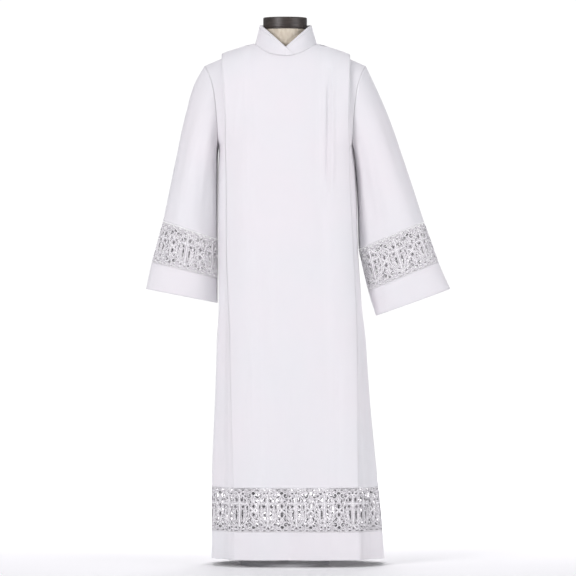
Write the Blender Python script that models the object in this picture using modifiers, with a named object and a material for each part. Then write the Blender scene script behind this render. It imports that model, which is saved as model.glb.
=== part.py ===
"""An alb, a long white church robe, worn by a limbless dress form on a round base plate.

Metres, +Z up. The robe's front faces -Y, and left and right are as seen from there.
The origin is on the floor, at the middle of the base plate's underside.
"""

import math

import bpy
import numpy as np
from mathutils import Vector, geometry

# Cloth and seams
CLOTH = 0.0012
COLLAR_CLOTH = 0.0020
SEAM = 0.0006
LACE_SEAM = 0.0010

# Heights of the robe, from the floor
HEM_Z = 0.020
LACE_LOW_Z = 0.098
LACE_TOP_Z = 0.218
ARMPIT_Z = 1.165
CHEST_Z = 1.250
NECK_POINT_Z = 1.454
FRONT_NECK_Z = 1.420
BACK_NECK_Z = 1.446

# Shoulders: the ridge falls in a straight line from the neck point to the sleeve
NECK_HALF = 0.087
SHOULDER_HALF = 0.227
SHOULDER_SLOPE = 0.44

# A level section of the robe is a squarish oval: its two exponents
ACROSS_POWER = 3.0
DEPTH_POWER = 2.8

# The robe's silhouette and depth. Above the armpit the edges are where the oval would close,
# and the armhole cuts it short.
SECTION_COLUMNS = ("height", "left", "right", "front", "back")
SECTIONS = (
    (0.020, -0.202, 0.274, 0.156, 0.162),
    (0.100, -0.202, 0.269, 0.152, 0.158),
    (0.213, -0.202, 0.258, 0.147, 0.152),
    (0.320, -0.199, 0.246, 0.142, 0.147),
    (0.460, -0.192, 0.232, 0.137, 0.141),
    (0.600, -0.187, 0.222, 0.132, 0.136),
    (0.740, -0.1855, 0.213, 0.128, 0.132),
    (0.880, -0.1872, 0.2035, 0.125, 0.129),
    (1.020, -0.1875, 0.2002, 0.122, 0.127),
    (1.110, -0.1866, 0.1962, 0.121, 0.126),
    (1.150, -0.1850, 0.1928, 0.121, 0.126),
    (1.165, -0.185, 0.192, 0.121, 0.126),
    (1.193, -0.196, 0.202, 0.121, 0.126),
    (1.222, -0.209, 0.214, 0.120, 0.125),
    (1.250, -0.222, 0.226, 0.120, 0.125),
    (1.300, -0.244, 0.246, 0.119, 0.124),
    (1.350, -0.280, 0.280, 0.118, 0.122),
    (1.400, -0.320, 0.320, 0.117, 0.120),
    (1.500, -0.380, 0.380, 0.115, 0.116),
)

# Where the knife pleats fold, on the front and on the back
PLEAT_COLUMNS = ("height", "front_left", "front_right", "back_left", "back_right")
PLEATS = (
    (0.020, -0.140, 0.206, -0.134, 0.192),
    (0.235, -0.142, 0.200, -0.136, 0.188),
    (0.460, -0.147, 0.197, -0.141, 0.184),
    (0.685, -0.151, 0.193, -0.147, 0.180),
    (0.850, -0.157, 0.185, -0.152, 0.174),
    (1.130, -0.159, 0.173, -0.157, 0.165),
    (1.420, -0.173, 0.177, -0.166, 0.166),
)
PLEAT_DEPTH = 0.052
FOLD_RADIUS = 0.0032
TUCK_RADIUS = 0.0018
FOLD_TURNS = (90.0, 0.0, -90.0)  # points round a fold, in degrees
PANEL_REST = 0.0025  # how far the panel's middle stands off the layer that carries it
PANEL_SETTLE = 0.030  # the width over which it comes to rest

# Columns across a panel, as shares of the way out: the neck's own part, beyond it, and the side
NECK_SHARE = 0.49
NECK_TURNS = (0.0, 22.0, 42.0, 60.0, 75.0, 90.0)  # round the neck, in degrees
PANEL_SHARES = (0.63, 0.80)
SIDE_SHARES = (0.18, 0.36, 0.55, 0.74, 0.90, 1.0)
NECKLINE_POWER = 2.2

# The armhole's distance from the middle
ARMHOLE_COLUMNS = ("height", "across")
ARMHOLE = (
    (1.193, 0.187),
    (1.222, 0.188),
    (1.250, 0.190),
    (1.300, 0.195),
    (1.345, 0.203),
    (1.375, 0.214),
    (1.400, 0.227),
)

# Soft folds: ridges stand out and troughs, of negative depth, fall in
# Across, width, depth, low end, high end and lean
FRONT_FOLDS = (
    (0.085, 0.030, -0.0045, 0.98, 1.46, -0.03),
    (-0.090, 0.034, 0.0030, 0.70, 1.42, 0.00),
    (0.035, 0.034, -0.0080, -0.30, 0.62, -0.09),
    (0.100, 0.040, 0.0050, -0.30, 0.80, -0.05),
    (-0.070, 0.045, 0.0050, -0.30, 0.75, 0.03),
)
BACK_FOLDS = (
    (-0.060, 0.035, -0.0070, -0.30, 0.90, 0.04),
    (0.020, 0.040, 0.0060, -0.30, 0.80, -0.03),
    (0.090, 0.030, -0.0060, -0.30, 0.70, -0.05),
    (-0.010, 0.050, -0.0040, 0.90, 1.42, 0.00),
)
# Folds in the sides, placed by the share of the way from the pleat to the side seam
SIDE_FOLDS = (
    (0.30, 0.14, -0.0080, -0.30, 0.85, 0.00),
    (0.64, 0.14, 0.0080, -0.30, 0.75, 0.00),
)
FOLD_FADE = 0.14
SIDE_FOLD_END = 0.5  # the share of the side over which its folds die out towards the seam
SIDE_SAMPLES = 33  # points that measure the way along a side
TINY = 1e-6

# Sleeves: the upper and the lower edge as the front shows them, and half the depth.
# The row's share is 0 at the armhole, 1 at the lace, 2 below it and 3 at the cuff's end.
SLEEVE_COLUMNS = ("share", "outer_x", "outer_z", "inner_x", "inner_z", "half_depth")
SLEEVES = {
    "left": (
        (0.00, 0.2270, 1.3924, 0.1850, 1.1650, 0.087),
        (0.09, 0.2500, 1.3520, 0.1872, 1.1480, 0.087),
        (0.30, 0.2780, 1.2600, 0.1888, 1.0950, 0.084),
        (0.60, 0.3060, 1.1300, 0.1897, 1.0150, 0.076),
        (1.00, 0.3416, 0.9580, 0.1898, 0.9080, 0.063),
        (2.00, 0.3724, 0.8460, 0.1898, 0.8010, 0.058),
        (3.00, 0.3892, 0.7700, 0.1898, 0.7310, 0.054),
    ),
    "right": (
        (0.00, 0.2270, 1.3924, 0.1920, 1.1650, 0.087),
        (0.09, 0.2480, 1.3480, 0.1955, 1.1480, 0.087),
        (0.30, 0.2880, 1.2550, 0.1998, 1.0900, 0.084),
        (0.60, 0.3350, 1.1200, 0.2034, 1.0050, 0.077),
        (1.00, 0.3892, 0.9560, 0.2066, 0.8800, 0.066),
        (2.00, 0.4284, 0.8460, 0.2330, 0.7660, 0.061),
        (3.00, 0.4620, 0.7700, 0.2548, 0.6950, 0.057),
    ),
}
SLEEVE_SIGN = {"left": -1.0, "right": 1.0}
SLEEVE_RINGS = (0.0, 0.05, 0.11, 0.19, 0.30, 0.44, 0.58, 0.72, 0.86, 1.0)
CUFF_RINGS = (2.0, 2.5, 3.0)
SLEEVE_POWER = 0.9  # below 1 makes a section squarer than an ellipse
SLEEVE_EVEN = 0.5  # the share by which a ring's points have spread evenly
SLEEVE_HELD_POWER = 3  # how fast the armhole's own shape dies out
# Folds along a sleeve, placed by the turn round it: 0 outside, 0.25 front, 0.5 underarm
SLEEVE_FOLDS = (
    (0.33, 0.055, -0.0100, -0.20, 1.10, 0.00),
    (0.18, 0.060, 0.0050, 0.05, 2.20, 0.00),
    (0.68, 0.060, -0.0080, 0.05, 1.60, 0.00),
    (0.84, 0.060, 0.0050, 0.10, 2.20, 0.00),
)
SLEEVE_FOLD_FADE = 0.35

# Rows of the front and back: by the turn over the shoulder, and then by height
SHOULDER_DROPS = (0.0, 0.08, 0.18, 0.31, 0.47, 0.68, 1.0)
ARMHOLE_ROWS = (1.222, 1.193, ARMPIT_Z)
SKIRT_ROWS = (1.03, 0.86, 0.67, 0.48, 0.32)

# Lace: a repeat of the pattern, and its gaps over 4 mm
LACE_REPEAT = 0.0796
LACE_HEIGHT = LACE_TOP_Z - LACE_LOW_Z
# Across from the repeat's middle, down from its top edge, half width and half height
LACE_GAPS = (
    (-0.0085, 0.0720, 0.0028, 0.0150),
    (0.0085, 0.0720, 0.0028, 0.0150),
    (0.0398, 0.0130, 0.0050, 0.0040),
    (0.0398, 0.1070, 0.0050, 0.0040),
)
GAP_POINT = 1.3  # how tall a gap's pointed end is for its half width
GAP_CLEAR = 0.0015  # between a gap and a bend or an end
LACE_LINES = (-0.0235, 0.0, 0.0235)
LINE_CLEAR = 0.0045  # a line of the pattern this near a bend is left out

# Collar
COLLAR_TOP_Z = 1.509
NOTCH_Z = 1.444
NOTCH_X = 0.0015
NOTCH_SLOPE = 0.90  # of the V's edges, seen from the front
COLLAR_START = -13.0  # the right end, in degrees about the neck from the front's middle
COLLAR_END = 375.0  # the left end, once round
COLLAR_LAP = 0.0036  # how far the left end lies outside the right one
LAP_START = 300.0
LAP_RISE = 45.0
COLLAR_LIFT = 0.0021  # over the neckline
BACK_LEAN = 0.04  # how far in for each metre up
SIDE_LEAN = 0.29

# Dress form
FORM_BOTTOM_Z = 0.820
NECK_RADIUS = 0.0605
CAP_RADIUS = 0.0615
CAP_LOW_Z = 1.496
CAP_TOP_Z = 1.529
CAP_EDGE = 0.0025
CAP_STEPS = 32
GROOVE = 0.0010
GROOVE_LOW = 0.0028
GROOVE_MIDDLE = 0.0042
GROOVE_HIGH = 0.0055
POLE_RADIUS = 0.0125
POLE_STEPS = 24
BASE_RADIUS = 0.125
BASE_THICKNESS = 0.008
BASE_EDGE = 0.003
BASE_STEPS = 48
FORM_SEAT = 0.0003  # between the pieces of the stand
FORM_DROP = 0.0011  # the form's shoulder lies this far under the middle of the cloth
FORM_NECK_INSET = 0.010  # its shoulder dips this much by the neck, so that it clears the collar
FORM_INSET_Z = 1.410
FORM_INSET_RISE = 0.040
FORM_NECK_Z = 1.360  # the neck's round shape grows out of the chest from here
FORM_NECK_RISE = 0.080
FORM_ACROSS_POWER = 2.6
FORM_DEPTH_POWER = 2.2
FORM_BLEND = 8  # the higher, the tighter the blend between the chest and the neck
FORM_COLUMNS = ("height", "half_width", "front", "back")
FORM = (
    (0.820, 0.158, 0.092, 0.100),
    (0.900, 0.164, 0.098, 0.106),
    (1.000, 0.158, 0.094, 0.098),
    (1.090, 0.150, 0.090, 0.092),
    (1.180, 0.158, 0.098, 0.100),
    (1.250, 0.168, 0.104, 0.106),
    (1.300, 0.176, 0.104, 0.107),
    (1.340, 0.186, 0.104, 0.106),
    (1.370, 0.198, 0.103, 0.105),
    (1.395, 0.216, 0.102, 0.104),
    (1.430, 0.260, 0.101, 0.103),
    (1.500, 0.300, 0.100, 0.101),
)
FORM_RINGS = (
    FORM_BOTTOM_Z, 0.870, 0.950, 1.040, 1.130, 1.210, 1.280,
    1.325, 1.355, 1.380, 1.400, 1.420, 1.437, 1.450,
)
FORM_HALF_STEPS = 12
# The neck block's rings: height, half width and half depth
NECK_RINGS = (
    (1.4545, 0.0740, 0.0640),
    (1.4630, 0.0690, 0.0625),
    (1.4760, 0.0625, 0.0610),
    (CAP_LOW_Z - FORM_SEAT, NECK_RADIUS, NECK_RADIUS),
)

LINEN = (0.72, 0.65, 0.54, 1.0)
WHITE = (0.90, 0.89, 0.91, 1.0)
LACE_WHITE = (0.86, 0.85, 0.87, 1.0)
CAP_BROWN = (0.075, 0.060, 0.052, 1.0)
STAND_GREY = (0.62, 0.62, 0.63, 1.0)


def smooth(x, known, values):
    """A smooth curve through a table's values: a cubic between rows, with each row's own slope."""
    known, values = np.asarray(known, float), np.asarray(values, float)
    slopes = np.gradient(values, known)
    x = np.clip(x, known[0], known[-1])
    i = np.clip(np.searchsorted(known, x) - 1, 0, len(known) - 2)
    span = known[i + 1] - known[i]
    t = (x - known[i]) / span
    first = (1 + 2 * t) * (1 - t) ** 2 * values[i] + t * (1 - t) ** 2 * span * slopes[i]
    second = t * t * (3 - 2 * t) * values[i + 1] + t * t * (t - 1) * span * slopes[i + 1]
    return first + second


def step(x):
    """0 below 0, 1 above 1, and a smooth rise between."""
    x = np.clip(x, 0.0, 1.0)
    return x * x * (3 - 2 * x)


def read(table, columns, name, at):
    """A named column of a table, at any value of the table's first column."""
    rows = np.array(table)
    return smooth(at, rows[:, 0], rows[:, columns.index(name)])


def folds(table, across, along, fade):
    """Sum of soft ridges: each a bell across, and faded in and out along its length."""
    total = np.zeros(np.broadcast(across, along).shape)
    for place, width, depth, low, high, lean in table:
        middle = place + lean * (along - low)
        bell = np.exp(-(((across - middle) / width) ** 2))
        total = total + depth * bell * step((along - low) / fade) * step((high - along) / fade)
    return total


def ridge(x):
    """Height of the shoulder's ridge."""
    return NECK_POINT_Z - SHOULDER_SLOPE * (np.abs(x) - NECK_HALF)


def body_oval(z):
    """Middle and half width of the robe's oval."""
    left = read(SECTIONS, SECTION_COLUMNS, "left", z)
    right = read(SECTIONS, SECTION_COLUMNS, "right", z)
    return (left + right) / 2, (right - left) / 2


def drop_of(z):
    """How far down a height below the chest is: 1 at the chest, and 1 more for each metre."""
    return 1.0 + CHEST_Z - z


def over_angle(drop):
    """How far over the shoulder a drop is: a quarter turn on the ridge, 0 at the chest."""
    return (1.0 - np.minimum(drop, 1.0)) * math.pi / 2


def height_at(x, drop):
    """The height of a drop, at x."""
    rounded = CHEST_Z + (ridge(x) - CHEST_Z) * np.sin(over_angle(drop))
    return np.where(drop > 1.0, 1.0 + CHEST_Z - drop, rounded)


def body_point(face, turn, drop):
    """A point of the robe's plain surface. The turn runs from 0 in the middle to a quarter turn at
    the side, and the drop from 0 on the shoulder's ridge to 1 at the chest, then by the metre."""
    z = np.where(drop > 1.0, 1.0 + CHEST_Z - drop, CHEST_Z)
    for _ in range(4):
        middle, half = body_oval(z)
        x = middle + half * np.sign(turn) * np.abs(np.sin(turn)) ** (2 / ACROSS_POWER)
        z = height_at(x, drop)
    depth = read(SECTIONS, SECTION_COLUMNS, "front" if face < 0 else "back", z)
    facing = np.sign(np.cos(turn)) * np.abs(np.cos(turn)) ** (2 / DEPTH_POWER)
    return np.stack(np.broadcast_arrays(x, face * depth * np.cos(over_angle(drop)) * facing, z), -1)


def body_normal(face, turn, drop, small=0.004):
    """The way out of the plain surface, from the slopes along it and down it."""
    along = body_point(face, turn + small, drop) - body_point(face, turn - small, drop)
    down = body_point(face, turn, drop + small) - body_point(face, turn, drop - small)
    normal = face * np.cross(along, down)
    return normal / np.linalg.norm(normal, axis=-1, keepdims=True)


def turn_at(x, drop):
    """The turn at which the oval is at x."""
    middle, half = body_oval(height_at(x, drop))
    share = np.clip(np.abs(x - middle) / half, 0.0, 1.0)
    return np.sign(x - middle) * np.arcsin(share ** (ACROSS_POWER / 2))


def side_turn(sign, drop):
    """The turn where a panel ends: at the armhole, or below the armpit at the side seam."""
    x = SHOULDER_HALF
    for _ in range(4):
        x = read(ARMHOLE, ARMHOLE_COLUMNS, "across", height_at(x, drop))
    below = drop > drop_of(ARMPIT_Z) - TINY
    return np.where(below, sign * math.pi / 2, turn_at(sign * x, drop))


def pleat_edges(face, z):
    """Where the left and the right pleat fold."""
    name = "front" if face < 0 else "back"
    return tuple(read(PLEATS, PLEAT_COLUMNS, f"{name}_{side}", z) for side in ("left", "right"))


def from_middle(share, half):
    """How far across a panel a share of it is. The neck's own share is always at the neck point."""
    outside = (share - NECK_SHARE) / (1 - NECK_SHARE)
    return np.where(share < NECK_SHARE, NECK_HALF * share / NECK_SHARE,
                    NECK_HALF + (half - NECK_HALF) * outside)


def half_stations():
    """The way from a panel's middle to its side, through the pleat. Each station is its share of
    the panel, its inset from the pleat's edge, its share of the side, and its layer."""
    fold = np.radians(FOLD_TURNS)
    shares = tuple(NECK_SHARE * np.sin(np.radians(NECK_TURNS))) + PANEL_SHARES
    way = [(share, 0.0, 0.0, 2.0) for share in shares]
    way += [(1.0, FOLD_RADIUS * (1 - math.cos(a)), 0.0, 1.5 + math.sin(a) / 2) for a in fold]
    way += [(1.0, PLEAT_DEPTH / 2, 0.0, 1.0)]
    way += [(1.0, PLEAT_DEPTH - TUCK_RADIUS * (1 - math.cos(a)), 0.0, 0.5 + math.sin(a) / 2)
            for a in fold]
    way += [(1.0, PLEAT_DEPTH / 2, 0.0, 0.0), (1.0, 0.0, 0.0, 0.0)]
    way += [(1.0, 0.0, share, 0.0) for share in SIDE_SHARES]
    return np.array(way)


def all_stations():
    """The whole way from the left side to the right side, with each station's side as a sign."""
    half = half_stations()
    signed = np.hstack([half, np.ones((len(half), 1))])
    mirrored = signed[::-1].copy()
    mirrored[:, 4] = -1.0
    return np.vstack([mirrored, signed[1:]])


STATIONS = all_stations()


def layer_lift(layer, inside):
    """How far a layer stands off the plain surface: the pleat's layers fan out to its edge, and
    the panel's middle settles towards the surface. Inside is the way in from the edge."""
    pitch = 2 * TUCK_RADIUS + 2 * (FOLD_RADIUS - TUCK_RADIUS) * (1 - inside / PLEAT_DEPTH)
    pitch = np.maximum(pitch, 2 * TUCK_RADIUS)
    settled = step((inside - PLEAT_DEPTH) / PANEL_SETTLE) * (layer >= 2.0)
    flat = layer * pitch
    return flat + settled * (PANEL_REST - flat)


def panel_row(face, stations, drop, level=None):
    """Points of one row of the front or back. Where the row starts at the neckline, drop is an
    array, with a value for each station."""
    share, inset, side, layer, sign = stations.T
    drop = np.broadcast_to(np.asarray(drop, float), share.shape)
    left, right = pleat_edges(face, height_at(NECK_HALF, drop))
    half = (right - left) / 2
    across = from_middle(share, half) - inset
    turn = turn_at((left + right) / 2 + sign * across, drop)
    sweep = np.linspace(turn, side_turn(sign, drop), SIDE_SAMPLES, axis=-1)
    line = body_point(face, sweep, drop[:, None])
    for k in np.flatnonzero(side > 0):
        run = np.linalg.norm(np.diff(line[k], axis=0), axis=1).cumsum()
        turn[k] = np.interp(side[k] * run[-1], np.append(0.0, run), sweep[k])
    plain = body_point(face, turn, drop)
    table = FRONT_FOLDS if face < 0 else BACK_FOLDS
    lift = layer_lift(layer, half - across)
    lift = lift + folds(table, plain[:, 0], plain[:, 2], FOLD_FADE)
    in_side = step((1.0 - side) / SIDE_FOLD_END) * (side > 0)
    lift = lift + folds(SIDE_FOLDS, side, plain[:, 2], FOLD_FADE) * in_side
    points = plain + lift[:, None] * body_normal(face, turn, drop)
    seam = (side > 1.0 - TINY) & (drop > drop_of(ARMPIT_Z) - TINY)
    points[seam, 1] = face * SEAM / 2
    if level is not None:
        points[:, 2] = level
    return points


def neck_drop(face, x):
    """The drop at which a panel starts: on the ridge, or inside the neck at the neckline."""
    low = FRONT_NECK_Z if face < 0 else BACK_NECK_Z
    share = np.minimum(np.abs(x) / NECK_HALF, 1.0)
    z = low + (NECK_POINT_Z - low) * share**NECKLINE_POWER
    over = np.arcsin(np.minimum((z - CHEST_Z) / (ridge(x) - CHEST_Z), 1.0))
    return 1.0 - over / (math.pi / 2)


def panel_starts(face):
    """The drop at the top edge, for each station."""
    left, right = pleat_edges(face, NECK_POINT_Z)
    share, inset, side, _, sign = STATIONS.T
    x = (left + right) / 2 + sign * (from_middle(share, (right - left) / 2) - inset)
    return np.where(side > 0, 0.0, neck_drop(face, x))


def collection(name):
    """A new collection in the scene."""
    made = bpy.data.collections.new(name)
    bpy.context.scene.collection.children.link(made)
    return made


def material(name, colour, roughness, metallic=0.0):
    """A plain finish."""
    made = bpy.data.materials.new(name)
    made.use_nodes = True
    shader = made.node_tree.nodes["Principled BSDF"]
    shader.inputs["Base Color"].default_value = colour
    shader.inputs["Roughness"].default_value = roughness
    shader.inputs["Metallic"].default_value = metallic
    return made


def add_object(name, mesh, finish):
    """A named object in the robe's collection."""
    made = bpy.data.objects.new(name, mesh)
    mesh.materials.append(finish)
    mesh.shade_smooth()
    ROBE.objects.link(made)
    return made


def cloth(name, points, faces, finish, thickness=CLOTH):
    """An open surface given the cloth's thickness, half to each side, with closed edges."""
    mesh = bpy.data.meshes.new(name)
    mesh.from_pydata([tuple(p) for p in points], [], faces)
    made = add_object(name, mesh, finish)
    wall = made.modifiers.new("Cloth", "SOLIDIFY")
    wall.thickness = thickness
    wall.offset = 0.0


def grid_faces(rows, across, closed, flip=False):
    """Quads of a grid of points, stored row by row. A closed grid's rows run all the way round."""
    faces = []
    for i in range(rows - 1):
        for j in range(across if closed else across - 1):
            k = (j + 1) % across
            quad = (i * across + j, i * across + k, (i + 1) * across + k, (i + 1) * across + j)
            faces.append(quad[::-1] if flip else quad)
    return faces


def panel(name, face, finish):
    """The front or the back: from the neckline and shoulder seams to the hem lace."""
    starts = panel_starts(face)
    rows = []
    for drop in SHOULDER_DROPS:
        rows.append(panel_row(face, STATIONS, starts + (1.0 - starts) * drop))
    on_ridge = starts == 0.0
    rows[0][on_ridge, 1] = face * SEAM / 2
    for z in ARMHOLE_ROWS + SKIRT_ROWS:
        rows.append(panel_row(face, STATIONS, drop_of(z)))
    rows.append(panel_row(face, STATIONS, drop_of(LACE_TOP_Z), LACE_TOP_Z + LACE_SEAM / 2))
    grid = np.array(rows)
    faces = grid_faces(len(grid), len(STATIONS), closed=False, flip=face > 0)
    cloth(name, grid.reshape(-1, 3), faces, finish)
    return grid


def hem_band(name, face, finish):
    """The plain band under the hem lace."""
    rows = [panel_row(face, STATIONS, drop_of(z), z) for z in (LACE_LOW_Z - LACE_SEAM / 2, HEM_Z)]
    grid = np.array(rows)
    faces = grid_faces(len(grid), len(STATIONS), closed=False, flip=face > 0)
    cloth(name, grid.reshape(-1, 3), faces, finish)


def runs_along(row):
    """The way along a row of points, from its first one."""
    return np.append(0.0, np.linalg.norm(np.diff(row, axis=0), axis=1).cumsum())


def gap_outline(across, down, half_width, half_height):
    """A pointed gap in the lace: a diamond, or a long one with straight sides."""
    straight = half_height - half_width * GAP_POINT
    if straight <= 0.0:
        return [(across - half_width, down), (across, down - half_height),
                (across + half_width, down), (across, down + half_height)]
    return [(across - half_width, down + straight), (across - half_width, down - straight),
            (across, down - half_height), (across + half_width, down - straight),
            (across + half_width, down + straight), (across, down + half_height)]


def inside_outline(point, outline):
    """True if a point is inside a convex outline."""
    signs = []
    for (ax, ay), (bx, by) in zip(outline, outline[1:] + outline[:1]):
        signs.append((bx - ax) * (point[1] - ay) - (by - ay) * (point[0] - ax))
    return all(s > 0 for s in signs) or all(s < 0 for s in signs)


def lace_gaps(length, bends, middles):
    """The gaps of a strip of lace: each whole one that no bend crosses."""
    gaps = []
    for middle in middles:
        for across, down, half_width, half_height in LACE_GAPS:
            low, high = middle + across - half_width, middle + across + half_width
            whole = GAP_CLEAR < low and high < length - GAP_CLEAR
            if whole and all(run < low - GAP_CLEAR or run > high + GAP_CLEAR for run in bends):
                gaps.append(gap_outline(middle + across, down, half_width, half_height))
    return gaps


def lace_lines(length, bends, middles, gaps):
    """Runs at which the strip has a line of points: its ends, its bends and lines between gaps."""
    lines = [0.0, length] + bends
    for middle in middles:
        for run in (middle + offset for offset in LACE_LINES):
            near = min(abs(run - line) for line in lines) < LINE_CLEAR
            crossed = any(min(g)[0] <= run <= max(g)[0] for g in gaps)
            if 0 < run < length and not near and not crossed:
                lines.append(run)
    return sorted(lines)


def pierced_strip(length, bends, first_middle):
    """A flat strip of lace, cut through at its larger gaps: points by run and drop, and triangles.
    Bends are the runs where the strip turns sharply, and first_middle is a repeat's middle."""
    bends = [run for run in bends if TINY < run < length - TINY]
    count = math.ceil(length / LACE_REPEAT) + 1
    middles = [first_middle + k * LACE_REPEAT for k in range(-count, count + 1)]
    gaps = lace_gaps(length, bends, middles)
    points, edges = [], []
    for run in lace_lines(length, bends, middles, gaps):
        points += [Vector((run, 0.0)), Vector((run, LACE_HEIGHT))]
        edges.append((len(points) - 2, len(points) - 1))
    edges += [(k, k + 2) for k in range(len(points) - 2)]
    for outline in gaps:
        first = len(points)
        points += [Vector(p) for p in outline]
        ring = list(range(first, len(points)))
        edges += list(zip(ring, ring[1:] + ring[:1]))
    flat, _, faces, _, _, _ = geometry.delaunay_2d_cdt(points, edges, [], 0, TINY / 10)
    kept = []
    for face in faces:
        middle = sum((flat[i] for i in face), Vector((0.0, 0.0))) / len(face)
        if not any(inside_outline(middle, outline) for outline in gaps):
            kept.append(tuple(face))
    return np.array([tuple(p) for p in flat]), kept


def hem_lace(name, face, finish):
    """The lace under the front or back, pleated as the cloth above it is. The back's pattern is
    half a repeat on, so that no gap lies behind another."""
    middle_z = (LACE_LOW_Z + LACE_TOP_Z) / 2
    runs = runs_along(panel_row(face, STATIONS, drop_of(middle_z), middle_z))
    share, inset, side, _, _ = STATIONS.T
    folded = (share == 1.0) & (side == 0.0) & (inset != PLEAT_DEPTH / 2)
    bends = runs[folded | ((side > 0.0) & (side < 1.0))]
    centre = len(STATIONS) // 2
    offset = LACE_REPEAT / 2 if name == "hem_lace_back" else 0.0
    flat, faces = pierced_strip(runs[-1], list(bends), runs[centre] + offset)
    places = np.arange(len(STATIONS))
    at = np.interp(flat[:, 0], runs, places)
    stations = np.stack([np.interp(at, places, column) for column in STATIONS.T], -1)
    stations[:, 4] = np.where(at < centre, -1.0, 1.0)
    top, low = LACE_TOP_Z - LACE_SEAM / 2, LACE_LOW_Z + LACE_SEAM / 2
    heights = top - (top - low) * flat[:, 1] / LACE_HEIGHT
    points = panel_row(face, stations, drop_of(heights), heights)
    cloth(name, points, [f[::-1] for f in faces] if face < 0 else faces, finish)


def armhole_ring(side, grids):
    """Points round an armhole: from the shoulder tip down the front, and up the back."""
    sign = SLEEVE_SIGN[side]
    column = 0 if side == "left" else -1
    count = len(SHOULDER_DROPS) + len(ARMHOLE_ROWS)
    front, back = grids["front"][:count, column], grids["back"][:count, column]
    ring = np.vstack([front, back[-2:0:-1]])
    ring[[0, count - 1], 1] = 0.0
    drops = list(SHOULDER_DROPS) + [drop_of(z) for z in ARMHOLE_ROWS]
    facing = [abs(body_normal(-1.0, side_turn(sign, d), d)[0]) for d in drops]
    facing = np.array(facing + facing[-2:0:-1])
    ring[:, 0] += sign * (SEAM + CLOTH * facing)
    return ring


def sleeve_edges(side, share):
    """The outer and the inner edge of a sleeve, in the plane of the front, and half its depth."""
    table, sign = SLEEVES[side], SLEEVE_SIGN[side]
    at = {name: read(table, SLEEVE_COLUMNS, name, share) for name in SLEEVE_COLUMNS[1:]}
    outer = np.array([sign * at["outer_x"], 0.0, at["outer_z"]])
    inner = np.array([sign * at["inner_x"], 0.0, at["inner_z"]])
    return outer, inner, float(at["half_depth"])


def sleeve_point(side, share, turn):
    """A point of a sleeve's plain tube. The turn is 0 outside, a quarter in front, a half below."""
    outer, inner, depth = sleeve_edges(side, share)
    a = 2 * math.pi * turn
    across = math.copysign(abs(math.cos(a)) ** SLEEVE_POWER, math.cos(a))
    deep = math.copysign(abs(math.sin(a)) ** SLEEVE_POWER, math.sin(a))
    return (outer + inner) / 2 + (outer - inner) / 2 * across - np.array([0.0, depth * deep, 0.0])


def sleeve_ring(side, share, ring, turns):
    """A ring of a sleeve. Near the armhole it keeps the armhole's own shape."""
    even = np.arange(len(ring)) / len(ring)
    blend = float(step(share / SLEEVE_EVEN))
    held = (1.0 - min(share, 1.0)) ** SLEEVE_HELD_POWER
    outer, inner, _ = sleeve_edges(side, share)
    points = []
    for k in range(len(ring)):
        turn = turns[k] + (even[k] - turns[k]) * blend
        point = sleeve_point(side, share, turn)
        out = point - (outer + inner) / 2
        out /= np.linalg.norm(out)
        lift = float(folds(SLEEVE_FOLDS, turn, share, SLEEVE_FOLD_FADE))
        start = ring[k] - sleeve_point(side, 0.0, turns[k])
        points.append(point + out * lift * (1 - held) + start * held)
    return np.array(points)


def armhole_turns(side, ring):
    """The turn of each armhole point, from its height."""
    outer, inner, _ = sleeve_edges(side, 0.0)
    share = np.clip((2 * ring[:, 2] - outer[2] - inner[2]) / (outer[2] - inner[2]), -1.0, 1.0)
    turn = np.arccos(np.sign(share) * np.abs(share) ** (1 / SLEEVE_POWER)) / (2 * math.pi)
    half = len(ring) // 2
    turn[half + 1:] = 1.0 - turn[half + 1:]
    return turn


def sleeve(side, grids, finish):
    """A set-in sleeve, from the armhole to the cuff lace."""
    ring = armhole_ring(side, grids)
    turns = armhole_turns(side, ring)
    rows = [sleeve_ring(side, share, ring, turns) for share in SLEEVE_RINGS]
    rows[-1] = seam_shift(rows[-1], rows[-2], LACE_SEAM / 2)
    faces = grid_faces(len(rows), len(ring), closed=True, flip=side == "right")
    cloth(f"sleeve_{side}", np.vstack(rows), faces, finish)
    return ring, turns


def seam_shift(row, before, gap):
    """A row drawn back along its cloth by half of a seam's gap."""
    back = before - row
    return row + gap * back / np.linalg.norm(back, axis=1, keepdims=True)


def cuff(side, ring, turns, finish):
    """The plain deep end of a sleeve."""
    rows = [sleeve_ring(side, share, ring, turns) for share in CUFF_RINGS]
    rows[0] = seam_shift(rows[0], rows[1], LACE_SEAM / 2)
    faces = grid_faces(len(rows), len(ring), closed=True, flip=side == "right")
    cloth(f"cuff_{side}", np.vstack(rows), faces, finish)


def cuff_lace(side, half, ring, turns, finish):
    """The front or the back half of the lace between a sleeve and its cuff. The back's pattern is
    half a repeat on, so that no gap lies behind another."""
    count = len(ring) // 2
    keep = np.arange(0, count + 1) if half == "front" else np.arange(count, len(ring) + 1) % len(ring)
    top, low = (sleeve_ring(side, share, ring, turns)[keep] for share in (1.0, 2.0))
    runs = runs_along((top + low) / 2)
    length = runs[-1] - LACE_SEAM
    bends = list(runs[2:-2:2] - LACE_SEAM / 2)
    offset = LACE_REPEAT / 2 if half == "back" else 0.0
    flat, faces = pierced_strip(length, bends, length / 2 + offset)
    along = flat[:, 0] + LACE_SEAM / 2
    top = np.stack([np.interp(along, runs, column) for column in top.T], -1)
    low = np.stack([np.interp(along, runs, column) for column in low.T], -1)
    down = low - top
    gap = (LACE_SEAM / 2) / np.linalg.norm(down, axis=1, keepdims=True)
    share = gap + (1 - 2 * gap) * flat[:, 1:2] / LACE_HEIGHT
    faces = [f[::-1] for f in faces] if side == "left" else faces
    cloth(f"cuff_lace_{side}_{half}", top + share * down, faces, finish)


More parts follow.
